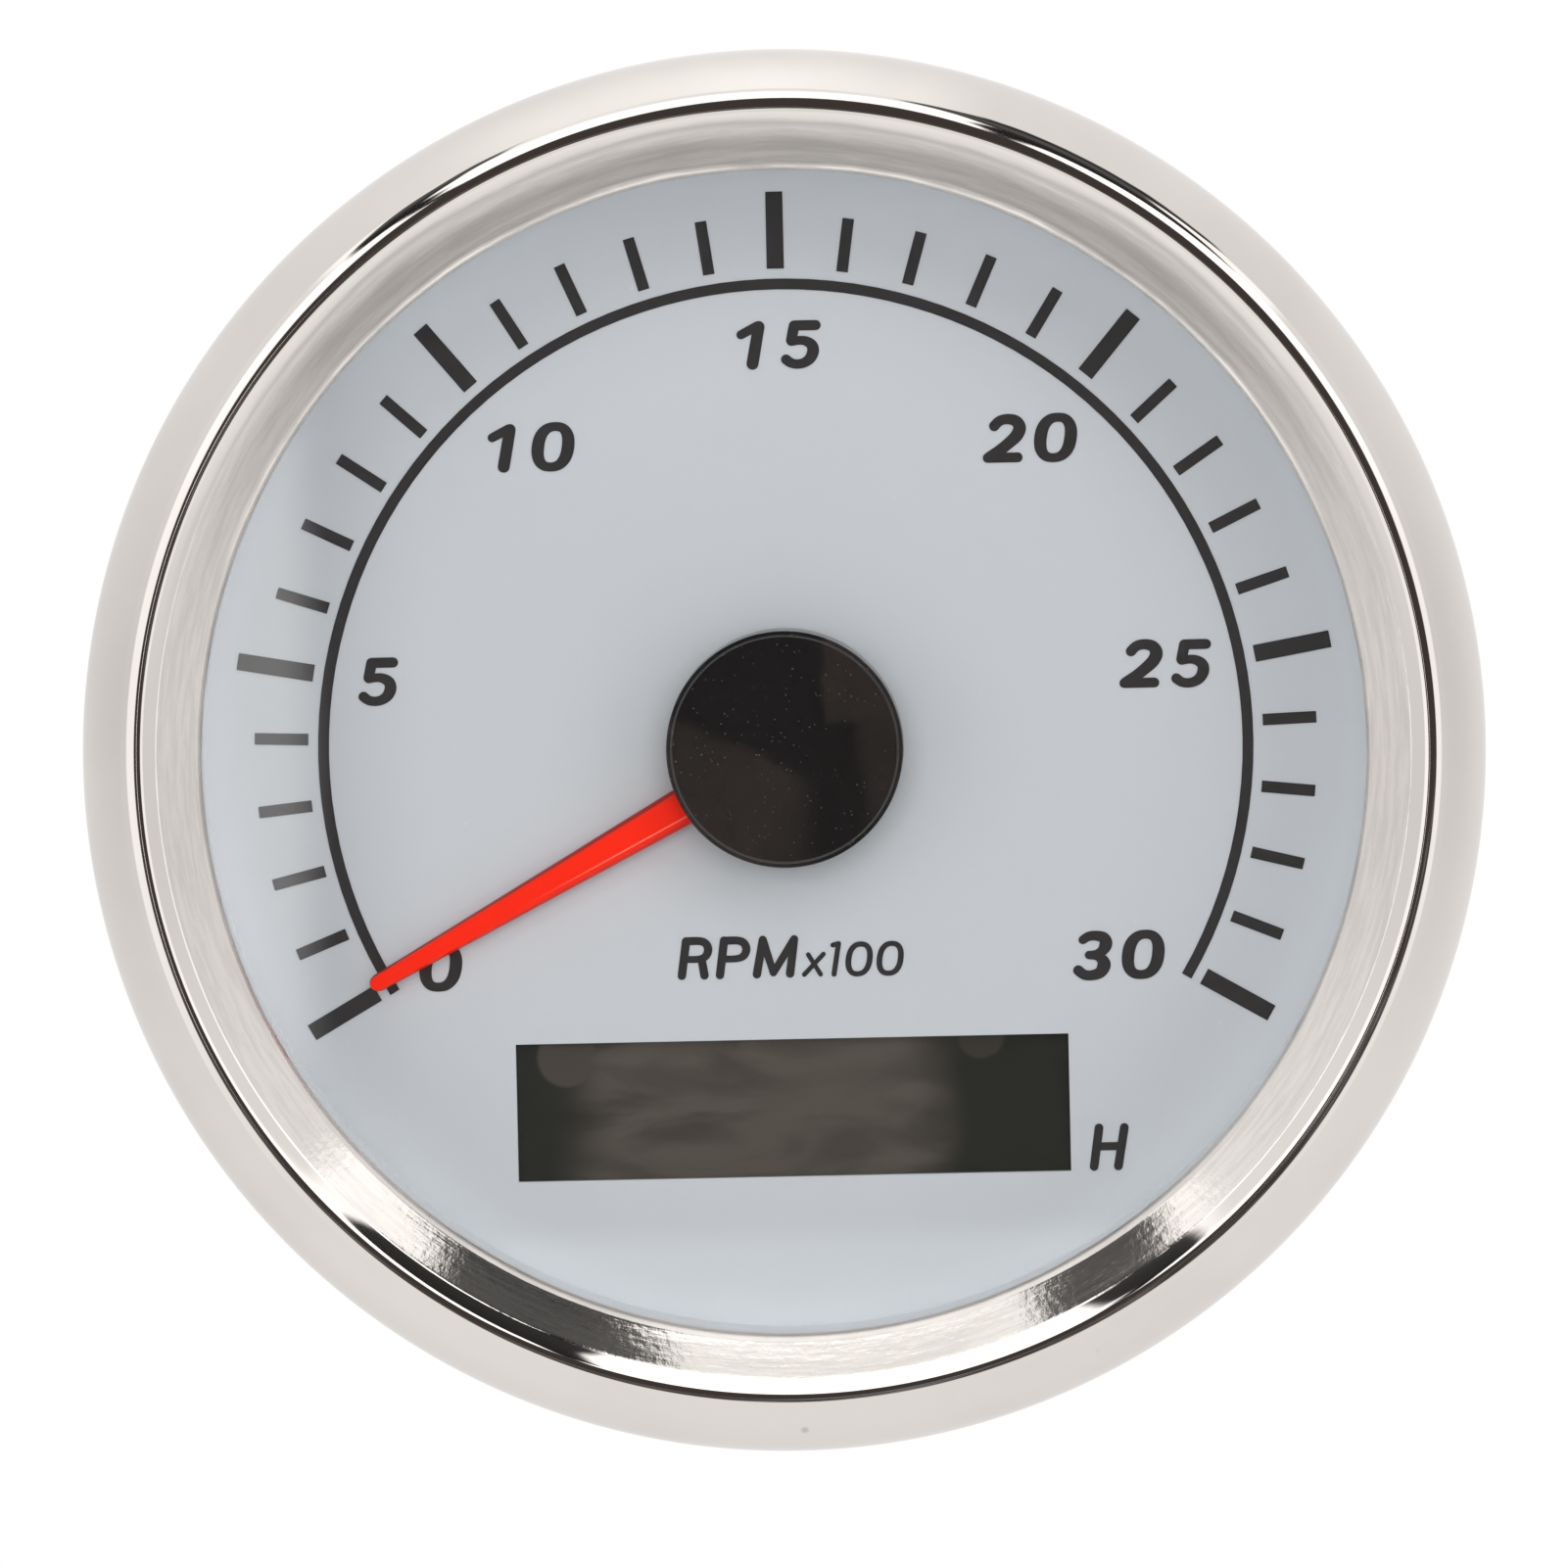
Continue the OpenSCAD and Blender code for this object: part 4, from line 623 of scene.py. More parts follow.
# colour, roughness, scale and depth of the grain, change of tone, wear
looks = {
    "bezel_steel": turnedSteel(),
    "lens_glass": clearGlass(),
    "seal_rubber": mouldedPlastic("sealRubber", (0.022, 0.022, 0.024, 1), 0.62, 2600, 0.008, 0.25, dust=0.1),
    "spacer_plastic": mouldedPlastic("spacerPlastic", (0.86, 0.88, 0.90, 1), 0.45, 5000, 0.002, 0.04),
    "case_plastic": mouldedPlastic("casePlastic", (0.024, 0.025, 0.027, 1), 0.46, 2300, 0.016, 0.3, 0.3,
                                   (0.12, 0.12, 0.125, 1), 0.05),
    "nut_plastic": mouldedPlastic("nutPlastic", (0.027, 0.028, 0.031, 1), 0.42, 1800, 0.014, 0.3, 0.45,
                                  (0.14, 0.14, 0.145, 1), 0.05),
    "dial_paint": dialPaint(),
    "dial_ink": mouldedPlastic("dialInk", srgb(34, 31, 31), 0.5, 5200, 0.0015, 0.12),
    "guide_plastic": guideAcrylic(),
    "white_plastic": mouldedPlastic("whitePlastic", (0.82, 0.82, 0.79, 1), 0.4, 3500, 0.003, 0.04),
    "display_glass": displayGlass(),
    "tinned_steel": bareMetal("tinnedSteel", (0.74, 0.74, 0.71, 1), 0.3),
    "board_laminate": boardLaminate(),
    "screw_steel": bareMetal("screwSteel", (0.64, 0.65, 0.66, 1), 0.3, worn=0.5),
    "lamp_plastic": mouldedPlastic("lampPlastic", (0.85, 0.79, 0.50, 1), 0.25, 6000, 0.001, 0.1),
    "chip_plastic": mouldedPlastic("chipPlastic", (0.03, 0.03, 0.032, 1), 0.5, 3000, 0.004, 0.15),
    "capacitor_aluminium": bareMetal("capacitorAluminium", (0.56, 0.58, 0.60, 1), 0.33, 1500, 0.003),
    "resistor_ceramic": mouldedPlastic("resistorCeramic", (0.035, 0.036, 0.040, 1), 0.3, 4000, 0.002, 0.2),
    "header_plastic": mouldedPlastic("headerPlastic", (0.022, 0.022, 0.024, 1), 0.45, 2500, 0.006, 0.2),
    "contact_brass": bareMetal("contactBrass", (0.83, 0.60, 0.24, 1), 0.24, worn=0.3),
    "motor_white_plastic": mouldedPlastic("motorWhite", (0.76, 0.76, 0.72, 1), 0.42, 3000, 0.004, 0.05),
    "motor_black_plastic": mouldedPlastic("motorBlack", (0.03, 0.03, 0.032, 1), 0.45, 2500, 0.006, 0.2),
    "stator_steel": bareMetal("statorSteel", (0.40, 0.41, 0.42, 1), 0.42, 1800, 0.004, 0.25, 0.5),
    "bobbin_plastic": mouldedPlastic("bobbinPlastic", (0.64, 0.54, 0.34, 1), 0.4, 3000, 0.003, 0.08),
    "winding_copper": windingCopper(),
    "magnet_ferrite": mouldedPlastic("magnetFerrite", (0.045, 0.048, 0.055, 1), 0.38, 3500, 0.004, 0.3),
    "pinion_brass": bareMetal("pinionBrass", (0.72, 0.55, 0.20, 1), 0.26),
    "gear_plastic": mouldedPlastic("gearPlastic", (0.78, 0.75, 0.65, 1), 0.38, 3500, 0.002, 0.05),
    "spindle_steel": bareMetal("spindleSteel", (0.68, 0.69, 0.71, 1), 0.22),
    "pointer_plastic": pointerRed(),
    "cap_plastic": capBlack(),
    "weight_brass": bareMetal("weightBrass", (0.66, 0.50, 0.20, 1), 0.3),
    "button_plastic": mouldedPlastic("buttonPlastic", (0.05, 0.051, 0.055, 1), 0.5, 2200, 0.014, 0.3, 0.5,
                                     (0.16, 0.16, 0.165, 1)),
    "stem_plastic": mouldedPlastic("stemPlastic", (0.72, 0.72, 0.68, 1), 0.4, 3500, 0.002, 0.05),
    "plunger_plastic": mouldedPlastic("plungerPlastic", (0.78, 0.73, 0.53, 1), 0.4, 3500, 0.002, 0.06),
}
for part in frame["record"]["subparts"]:
    held = nodes[part["node"]].data.materials
    if not held:
        held.append(None)
    for place in range(len(held)):
        held[place] = looks[part["material_slot"]]


# Bezel
def bezelProfile():
    s = bezelSizes
    side = [(s["crimpR"], s["rearZ"])]
    side += arc((s["outerR"] - s["rearFoldR"], s["rearZ"] + s["rearFoldR"]), s["rearFoldR"], s["rearFoldR"],
                -90, 0, 12)
    side += arc((s["crestR"], s["crestZ"] - s["shoulderDrop"]), s["outerR"] - s["crestR"], s["shoulderDrop"],
                0, 90, 48)
    # over the crest and down a polished slope, then the turned cove falls to the lip
    side += arc((s["crestR"], s["crestZ"] - s["crestRound"]), s["crestRound"], s["crestRound"],
                90 + s["innerSlope"] / 8, 90 + s["innerSlope"], 7)
    down, top, end = (math.radians(s[key]) for key in ("innerSlope", "coveSlope", "lipSlope"))
    start = s["turnedR"] + s["turnedRound"]
    side += [(start, side[-1][1] - (side[-1][0] - start) * math.tan(down))]
    side += [(start - 2 * s["turnedRound"],
              side[-1][1] - 2 * s["turnedRound"] * math.tan((down + top) / 2))]
    a = Vector(side[-1])
    lipStart = s["openingR"] + s["lipR"] * (1 - math.sin(end))
    run = a.x - lipStart
    b = Vector((lipStart, a.y - run * math.tan((top + end) / 2)))
    lip = (s["openingR"] + s["lipR"], b.y - s["lipR"] * math.cos(end))
    ahead, last = (Vector((-math.cos(v), -math.sin(v))) * run / 3 for v in (top, end))
    for i in range(1, 20):
        t = i / 20
        u = 1 - t
        side.append(tuple(u ** 3 * a + 3 * u * u * t * (a + ahead) + 3 * u * t * t * (b - last)
                          + t ** 3 * b))
    side += arc(lip, s["lipR"], s["lipR"], 90 + s["lipSlope"], 180, 14)
    side += [(s["openingR"], s["glassZ"])]
    inner = []
    for i in reversed(range(len(side))):
        back, front = Vector(side[max(i - 1, 0)]), Vector(side[min(i + 1, len(side) - 1)])
        run = (front - back).normalized()
        inner.append((side[i][0] - s["sheet"] * run.y, side[i][1] + s["sheet"] * run.x))
    return side + inner


bm = bmesh.new()
spin(bm, bezelProfile(), bezelSizes["segments"])
bezelShell = newPiece("bezelShell", bm, looks["bezel_steel"], 50)
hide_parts("bezel")
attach(bezelShell, "case")
print("bezel turned")


# Figures and words of the dial, as strokes of x, y and width
slant = math.tan(math.radians(7.6))
printing = {"thickness": 0.06, "front": -4.5, "steps": 6, "capSteps": 9, "scale": 1.0065}


def smoothPath(points, closed=False):
    # a curve through the points, with the width following it
    n, steps, made = len(points), printing["steps"], []
    for i in range(n if closed else n - 1):
        p = [points[(i + k) % n if closed else min(max(i + k, 0), n - 1)] for k in (-1, 0, 1, 2)]
        for j in range(steps):
            t = j / steps
            made.append([0.5 * (2 * b + (c - a) * t + (2 * a - 5 * b + 4 * c - d) * t * t
                                + (3 * b - a - 3 * c + d) * t ** 3) for a, b, c, d in zip(*p)])
    if not closed:
        made.append(list(points[-1]))
    return made


def strokeFaces(points, closed=False, bend=True):
    if not bend and len(points) > 2:
        return [face for pair in zip(points, points[1:]) for face in strokeFaces(pair)]
    path = smoothPath(points, closed) if len(points) > 2 else [list(p) for p in points]
    faces, n = [], len(path)
    sides = []
    for i, (x, y, w) in enumerate(path):
        a, b = (path[(i + k) % n if closed else min(max(i + k, 0), n - 1)] for k in (-1, 1))
        run = Vector((b[0] - a[0], b[1] - a[1])).normalized()
        sides.append(((x - run.y * w / 2, y + run.x * w / 2), (x + run.y * w / 2, y - run.x * w / 2)))
    for i in range(n if closed else n - 1):
        (a, b), (c, d) = sides[i], sides[(i + 1) % n]
        faces.append([b, d, c, a])
    for i in [] if closed else [0, n - 1]:
        x, y, w = path[i]
        k = printing["capSteps"] * 2
        turns = [2 * math.pi * j / k for j in range(k)]
        faces.append([(x + w / 2 * math.cos(t), y + w / 2 * math.sin(t)) for t in turns])
    return faces


def strokes(*paths):
    return [face for path in paths for face in strokeFaces(path)]


def roundFigure(x, y, width, height, sideW, topW):
    a, b, n, made = (width - sideW) / 2, (height - topW) / 2, 2 / 2.35, []
    for i in range(20):
        t = 2 * math.pi * i / 20
        c, s = math.cos(t), math.sin(t)
        py = b * math.copysign(abs(s) ** n, s)
        made.append((x + a * math.copysign(abs(c) ** n, c) + py * slant, y + py,
                     topW + (sideW - topW) * abs(c) ** 1.6))
    return strokeFaces(made, closed=True)


def moved(faces, dx, dy):
    return [[(x + dx, y + dy) for x, y in face] for face in faces]


one = strokes([(-1.22, 28.72, 0.8), (-1.7, 26.2, 0.82)], [(-1.3, 28.78, 0.66), (-2.45, 28.2, 0.62)])
five = strokes([(1.27, 28.76, 0.7), (2.67, 28.76, 0.7)], [(1.2, 28.74, 0.74), (0.98, 27.75, 0.72)],
               [(0.98, 27.66, 0.6), (1.5, 27.74, 0.6), (1.95, 27.69, 0.66), (2.36, 27.42, 0.76),
                (2.46, 27.0, 0.82), (2.26, 26.52, 0.76), (1.86, 26.22, 0.68), (1.4, 26.12, 0.65),
                (0.95, 26.2, 0.67), (0.6, 26.45, 0.7)])
two = strokes([(14.73, 21.6, 0.72), (15.1, 21.94, 0.7), (15.65, 22.06, 0.71), (16.22, 21.9, 0.8),
               (16.46, 21.45, 0.88), (16.26, 20.95, 0.86), (15.8, 20.5, 0.8), (15.1, 19.96, 0.76),
               (14.32, 19.48, 0.72)], [(14.23, 19.43, 0.68), (16.28, 19.43, 0.68)])
three = strokes([(20.05, -13.68, 0.6), (20.45, -13.45, 0.64), (20.95, -13.41, 0.68), (21.46, -13.57, 0.8),
                 (21.62, -13.97, 0.89), (21.38, -14.44, 0.74), (20.95, -14.68, 0.6), (20.45, -14.73, 0.58)],
                [(20.45, -14.73, 0.58), (20.95, -14.8, 0.6), (21.3, -15.02, 0.76), (21.46, -15.42, 0.93),
                 (21.2, -15.92, 0.8), (20.62, -16.12, 0.7), (20.1, -16.07, 0.7), (19.7, -15.77, 0.72)])
bowlOfR = [(-7.05, -13.22, 0.56), (-6.2, -13.22, 0.55), (-5.77, -13.4, 0.57), (-5.6, -13.82, 0.58),
           (-5.8, -14.28, 0.54), (-6.3, -14.46, 0.48), (-7.2, -14.46, 0.48)]
bowlOfP = [(x + 2.61, y - 0.02, w) for x, y, w in bowlOfR]
words = (strokes([(-7.44, -15.58, 0.58), (-7.1, -13.22, 0.58)], bowlOfR,
                 [(-6.06, -14.5, 0.56), (-5.89, -15.58, 0.58)],
                 [(-4.83, -15.58, 0.58), (-4.5, -13.22, 0.58)], bowlOfP)
         + strokeFaces([(-2.3, -15.58, 0.58), (-1.85, -13.22, 0.56), (-1.17, -15.5, 0.5), (0.3, -13.22, 0.56),
                        (-0.03, -15.58, 0.58)], bend=False)
         + strokes([(1.24, -14.3, 0.32), (2.06, -15.67, 0.32)], [(2.28, -14.28, 0.32), (0.94, -15.67, 0.32)])
         + strokeFaces([(2.94, -13.68, 0.34), (3.33, -13.58, 0.34), (2.98, -15.67, 0.36)], bend=False)
         + roundFigure(4.72, -14.67, 1.85, 2.4, 0.4, 0.36) + roundFigure(6.84, -14.67, 1.85, 2.4, 0.4, 0.36))
hours = strokes([(20.89, -26.59, 0.6), (20.5, -29.23, 0.6)], [(22.62, -26.59, 0.6), (22.16, -29.23, 0.6)],
                [(20.7, -27.86, 0.56), (22.38, -27.86, 0.56)])


def bigZero(x, y):
    return roundFigure(x, y, 2.92, 3.38, 0.86, 0.62)


lettering = [one + five, moved(five, -29.4, -22.46), moved(five, 26.21, -22.36), two,
             moved(two, 9.02, -15.59), bigZero(18.9, 20.73), bigZero(24.16, -14.76),
             bigZero(-15.46, 20.82), bigZero(-23.93, -14.63), moved(one, -17.16, -6.68), three, words, hours]


def printedShape(bm, faces):
    # overlapping stroke pieces become one flat shape, then get the print's thickness
    points, rows = [], []
    for face in faces:
        rows.append(list(range(len(points), len(points) + len(face))))
        points += [Vector(p) * printing["scale"] for p in face]
    found = delaunay_2d_cdt(points, [], rows, 0, 1e-4)
    inside = [face for face, held in zip(found[2], found[5]) if held]
    low, high = printing["front"], printing["front"] + printing["thickness"]
    top = [bm.verts.new(toWorld(p.x, p.y, high)) for p in found[0]]
    bottom = [bm.verts.new(toWorld(p.x, p.y, low)) for p in found[0]]
    edges = {}
    for face in inside:
        bm.faces.new([top[i] for i in face])
        bm.faces.new([bottom[i] for i in reversed(face)])
        for a, b in zip(face, face[1:] + face[:1]):
            edges[(a, b)] = True
    for a, b in edges:
        if (b, a) not in edges:
            bm.faces.new((top[b], top[a], bottom[a], bottom[b]))
    for v in [v for v in bm.verts if not v.link_faces]:
        bm.verts.remove(v)


bm = bmesh.new()
for shape in lettering:
    printedShape(bm, shape)
bmesh.ops.dissolve_limit(bm, angle_limit=math.radians(1), verts=bm.verts, edges=bm.edges)
dialFigures = newPiece("dialFigures", bm, looks["dial_ink"], 30)
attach(dialFigures, "case")
print("figures and words printed")


# Pointer and its cap
pointerArm = softened("pointer_arm", "pointerArm", 0.05, looks["pointer_plastic"])
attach(pointerArm, "pointer")


def capShell():
    s = capSizes
    top = s["r"] - s["draft"]
    bead = top - s["edge"] - s["rim"]
    inner = s["high"] - s["wall"] - s["dish"]
    profile = [(s["r"] - s["wall"], s["low"]), (s["r"] - 0.08, s["low"]), (s["r"], s["low"] + 0.08)]
    profile += arc((top - s["edge"], s["high"] - s["edge"]), s["edge"], s["edge"], 4, 90, 6)
    profile += [(bead, s["high"]), (bead - s["bevel"], s["high"] - s["dish"]),
                (4.0, s["high"] - s["dish"]), (0, s["high"] - s["dish"]),
                (0, inner), (s["r"] - s["wall"] - s["draft"], inner)]
    bm = bmesh.new()
    spin(bm, profile, 160)
    piece = newPiece("capShell", bm, looks["cap_plastic"], 35)
    # the notch that lets the pointer out
    turn = math.radians(s["bearing"])
    along, across = Vector((math.sin(turn), math.cos(turn))), Vector((math.cos(turn), -math.sin(turn)))
    cutter = bmesh.new()
    bmesh.ops.create_cube(cutter, size=1.0)
    for v in cutter.verts:
        at = along * ((v.co.x + 0.5) * 9 + 1) + across * v.co.y * s["notchW"]
        v.co = toWorld(at.x, at.y, s["low"] - 1 + (v.co.z + 0.5) * (s["notchTop"] - s["low"] + 1))
    block = newPiece("notchBlock", cutter, looks["cap_plastic"])
    cut = piece.modifiers.new("notch", "BOOLEAN")
    cut.object = block
    cut.solver = "EXACT"
    evaluated(piece)
    mesh = block.data
    bpy.data.objects.remove(block)
    bpy.data.meshes.remove(mesh)
    return piece


cap = capShell()
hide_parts("pointer_cap")
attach(cap, "pointer")
print("pointer and cap made")


# Thread of the case and of the ring nut, and the grip of the knob, grown by node trees
threadSizes = {"pitch": 6.5 / 3, "footW": 1.2, "crestW": 0.45, "caseFootR": 41.15, "height": 0.68,
               "caseFront": -7.2, "caseRear": -27.8, "nutFootR": 42.25, "nutFront": -13.5, "nutRear": -16.2}
knobSizes = {"at": (8.0, 26.0), "r": 4.6, "front": -31.3, "rear": -33.4, "end": 0.3, "ribs": 28,
             "ribW": 0.45, "ribH": 0.16}


def finishTree(tree, geometry, material, end):
    real = node(tree, "GeometryNodeRealizeInstances", {"Geometry": geometry}).outputs[0]
    done = node(tree, "GeometryNodeSetMaterial", {"Geometry": real, "Material": material}).outputs[0]
    tree.links.new(done, end.inputs[0])
    return tree


def transform(tree, geometry, **inputs):
    return node(tree, "GeometryNodeTransform", dict(inputs, Geometry=geometry)).outputs[0]


def threadTree():
    tree, start, end = newGroup("screwThread", "GeometryNodeTree", {
        "Geometry": "Geometry", "Foot Radius": 0.04, "Ridge Height": 0.0007, "Foot Width": 0.0015,
        "Crest Width": 0.0005, "Pitch": 0.003, "Turns": 6.0, "Side": 1.0, "Start Angle": 0.0,
        "Start Depth": 0.006, "Material": "Material"}, {"Geometry": "Geometry"})
    get = start.outputs
    helix = node(tree, "GeometryNodeCurveSpiral", {
        "Resolution": 96, "Rotations": get["Turns"], "Start Radius": get["Foot Radius"],
        "End Radius": get["Foot Radius"], "Height": times(tree, get["Pitch"], get["Turns"])}).outputs[0]
    flat = node(tree, "GeometryNodeSetCurveNormal", {"Curve": helix}, mode="Z_UP").outputs[0]
    share = node(tree, "GeometryNodeSplineParameter").outputs["Factor"]
    ends = calc(tree, "MINIMUM", share, minus(tree, 1.0, share))
    taper = smoothStep(tree, times(tree, ends, get["Turns"]), 0.0, 0.12, 0.05, 1.0)
    sized = node(tree, "GeometryNodeSetCurveRadius", {"Curve": flat, "Radius": taper}).outputs[0]
    ridge = node(tree, "GeometryNodeCurvePrimitiveQuadrilateral", {
        "Bottom Width": get["Foot Width"], "Top Width": get["Crest Width"], "Offset": 0.0,
        "Height": get["Ridge Height"]}, mode="TRAPEZOID").outputs[0]
    ridge = transform(tree, ridge, Translation=vector(tree, 0.0, times(tree, get["Ridge Height"], 0.5), 0.0))
    ridge = transform(tree, ridge, Rotation=vector(tree, 0.0, 0.0, times(tree, get["Side"], math.pi / 2)))
    mesh = node(tree, "GeometryNodeCurveToMesh", {"Curve": sized, "Profile Curve": ridge,
                                                  "Fill Caps": True}).outputs[0]
    mesh = transform(tree, mesh, Rotation=vector(tree, 0.0, 0.0, get["Start Angle"]))
    mesh = transform(tree, mesh, Rotation=(-math.pi / 2, 0, 0),
                     Translation=vector(tree, 0.0, get["Start Depth"], 0.0))
    return finishTree(tree, mesh, get["Material"], end)


def ribTree():
    tree, start, end = newGroup("ringOfRibs", "GeometryNodeTree", {
        "Geometry": "Geometry", "Count": 24, "Radius": 0.004, "Rib Width": 0.0004, "Rib Height": 0.0002,
        "Length": 0.002, "Place": "Vector", "Material": "Material"}, {"Geometry": "Geometry"})
    get = start.outputs
    ring = node(tree, "GeometryNodeMeshCircle", {
        "Vertices": get["Count"], "Radius": get["Radius"]}).outputs[0]
    rib = node(tree, "GeometryNodeMeshCylinder", {
        "Vertices": 8, "Radius": 1.0, "Depth": get["Length"]}).outputs[0]
    rib = transform(tree, rib, Scale=vector(tree, get["Rib Height"], times(tree, get["Rib Width"], 0.5), 1.0))
    outward = node(tree, "FunctionNodeAlignRotationToVector", {
        "Vector": node(tree, "GeometryNodeInputPosition").outputs[0]}, axis="X", pivot_axis="Z").outputs[0]
    ribs = node(tree, "GeometryNodeInstanceOnPoints", {
        "Points": ring, "Instance": rib, "Rotation": outward}).outputs[0]
    ribs = transform(tree, ribs, Rotation=(-math.pi / 2, 0, 0), Translation=get["Place"])
    return finishTree(tree, ribs, get["Material"], end)


def growPiece(name, tree, values):
    holder = bpy.data.objects.new(name, bpy.data.meshes.new(name))
    bpy.context.scene.collection.objects.link(holder)
    grown = holder.modifiers.new(name, "NODES")
    grown.node_group = tree
    for item in tree.interface.items_tree:
        if item.item_type == "SOCKET" and item.in_out == "INPUT" and item.name in values:
            grown[item.identifier] = values[item.name]
    evaluated(holder)
    bm = bmesh.new()
    bm.from_mesh(holder.data)
    mesh = holder.data
    bpy.data.objects.remove(holder)
    bpy.data.meshes.remove(mesh)
    return newPiece(name, bm, values["Material"], 35)


def addThreads():
    s, tree = threadSizes, threadTree()
    shared = {"Ridge Height": s["height"] * mm, "Foot Width": s["footW"] * mm,
              "Crest Width": s["crestW"] * mm, "Pitch": s["pitch"] * mm}
    caseThread = growPiece("caseThread", tree, dict(shared, **{
        "Foot Radius": s["caseFootR"] * mm, "Turns": (s["caseFront"] - s["caseRear"]) / s["pitch"],
        "Start Depth": -s["caseFront"] * mm, "Material": looks["case_plastic"]}))
    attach(caseThread, "case")
    # half a pitch behind the case's ridge, so the two are in mesh
    behind = (s["caseFront"] - s["nutFront"]) / s["pitch"] - 0.5
    nutThread = growPiece("nutThread", tree, dict(shared, **{
        "Foot Radius": s["nutFootR"] * mm, "Side": -1.0,
        "Turns": (s["nutFront"] - s["nutRear"]) / s["pitch"], "Start Angle": 2 * math.pi * (behind % 1),
        "Start Depth": -s["nutFront"] * mm, "Material": looks["nut_plastic"]}))
    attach(nutThread, "ring_nut")


def addGrip():
    s = knobSizes
    middle = toWorld(s["at"][0], s["at"][1], (s["front"] + s["rear"]) / 2)
    knobGrip = growPiece("knobGrip", ribTree(), {
        "Count": s["ribs"], "Radius": s["r"] * mm, "Rib Width": s["ribW"] * mm, "Rib Height": s["ribH"] * mm,
        "Length": (s["front"] - s["rear"] - s["end"]) * mm, "Place": tuple(middle),
        "Material": looks["button_plastic"]})
    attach(knobGrip, "button")


addThreads()
addGrip()
print("thread and grip grown")


# Floor, world and lamps
studio = {
    "floorZ": -0.085, "ambient": 0.38,
    # name, place, size and power of each lamp; all are aimed at the gauge
    "lamps": [("frontLamp", (0.0, -1.3, 0.12), (0.9, 0.6), 8.5),
              ("topLamp", (0.2, -1.0, 0.7), (1.1, 0.7), 4.5),
              ("leftLamp", (-1.0, -0.9, 0.1), (0.6, 0.9), 2.6),
              ("rightLamp", (1.0, -0.9, 0.15), (0.6, 0.9), 3.2),
              ("lowLamp", (-0.1, -1.3, -0.45), (0.9, 0.5), 3.5),
              ("rearLamp", (0.3, 1.2, 0.9), (0.9, 0.7), 8.0)],
}
# what gloss reflects: brightness by bearing in degrees, clockwise from the top as the camera sees it, in
# four zones round the view, near (up to nearReach), far, side (from 36 degrees) and rear
worldLook = {
    "near": [(-180, 0.9), (-150, 0.92), (-90, 1.2), (-45, 1.5), (-20, 1.65), (0, 1.7), (20, 1.65),
             (45, 1.65), (90, 1.15), (150, 0.92), (180, 0.9)],
    "far": [(-180, 0.9), (-135, 0.92), (-90, 0.78), (-60, 0.9), (-49, 0.94), (-45, 1.3), (-30, 1.15),
            (-20, 1.04), (0, 1.02), (15, 1.06), (30, 1.25), (50, 1.3), (54, 0.92), (60, 0.88), (90, 0.78),
            (135, 0.9), (180, 0.9)],
    "side": [(-180, 0.9), (-135, 0.92), (-90, 0.76), (-60, 0.86), (-45, 0.88), (-35, 0.93), (-20, 1.1),
             (0, 1.22), (12, 1.1), (20, 0.93), (40, 0.88), (60, 0.84), (90, 0.76), (135, 0.9), (180, 0.9)],
    "rear": [(-180, 0.86), (-90, 0.84), (-30, 0.9), (0, 0.97), (30, 0.92), (90, 0.88), (180, 0.86)],
    "nearReach": [(-180, 24), (-60, 24), (-42, 26), (-33, 29), (0, 29.5), (18, 29), (40, 27), (60, 24),
                  (180, 24)],
    # two dark gaps: their edges as angle from the view and bearing, where each ends, how ragged its end is
    "gaps": [{"low": [(13, -42), (17, -41), (21, -44.5), (25.5, -46.3), (29, -44.5), (33, -41), (36, -39)],
              "high": [(13, -37), (17, -37.2), (21, -36), (25.5, -34.7), (28, -31), (31, -26.5), (36, -24)],
              "end": 35.0, "ragged": 2.0},
             {"low": [(13, 18.6), (17, 18.6), (21, 17.5), (26, 18.5), (29, 15), (32, 10.5), (34, 11),
                      (36, 17), (41, 20)],
              "high": [(13, 22.5), (17, 23), (20.5, 26), (23, 39), (25.5, 47), (28.5, 44), (30.2, 37),
                       (33.4, 36), (35, 43), (38, 44), (41, 42)],
              "end": 40.0, "ragged": 2.5}],
    "gapShade": [(10, 0.02), (24, 0.02), (28, 0.04), (30.5, 0.1), (34, 0.1), (36, 0.04), (40, 0.03)],
    # how far the dark front reaches, by bearing
    "frontReach": [(-180, 11), (-160, 11.5), (-131, 11), (-113, 9), (-92, 8), (-60, 9.8), (-28, 13.5),
                   (0, 16.5), (8, 16.3), (20, 14), (33, 12), (59, 12), (82, 12.6), (131, 14.8),
                   (149, 14.7), (169, 11.6), (180, 11)],
    # half the width over which each zone turns into the next, in degrees, and where far and side end
    "nearSoft": 1.8, "gapSoft": 1.2, "endSoft": 1.5, "frontSoft": 0.9,
    "farEnd": (34.5, 37.5), "sideEnd": (45.0, 140.0),
    "front": (0.055, 0.046, 0.043, 1), "veil": (0.3, 0.3, 0.3, 1),
    # the card that lights the glass at the left, by the direction's x and z
    "card": (1.7, 1.68, 1.66, 1), "cardX": ((-0.0412, -0.0445), (-0.058, -0.053)),
    "cardZ": ((-0.070, -0.050), (-0.010, -0.024)),
}


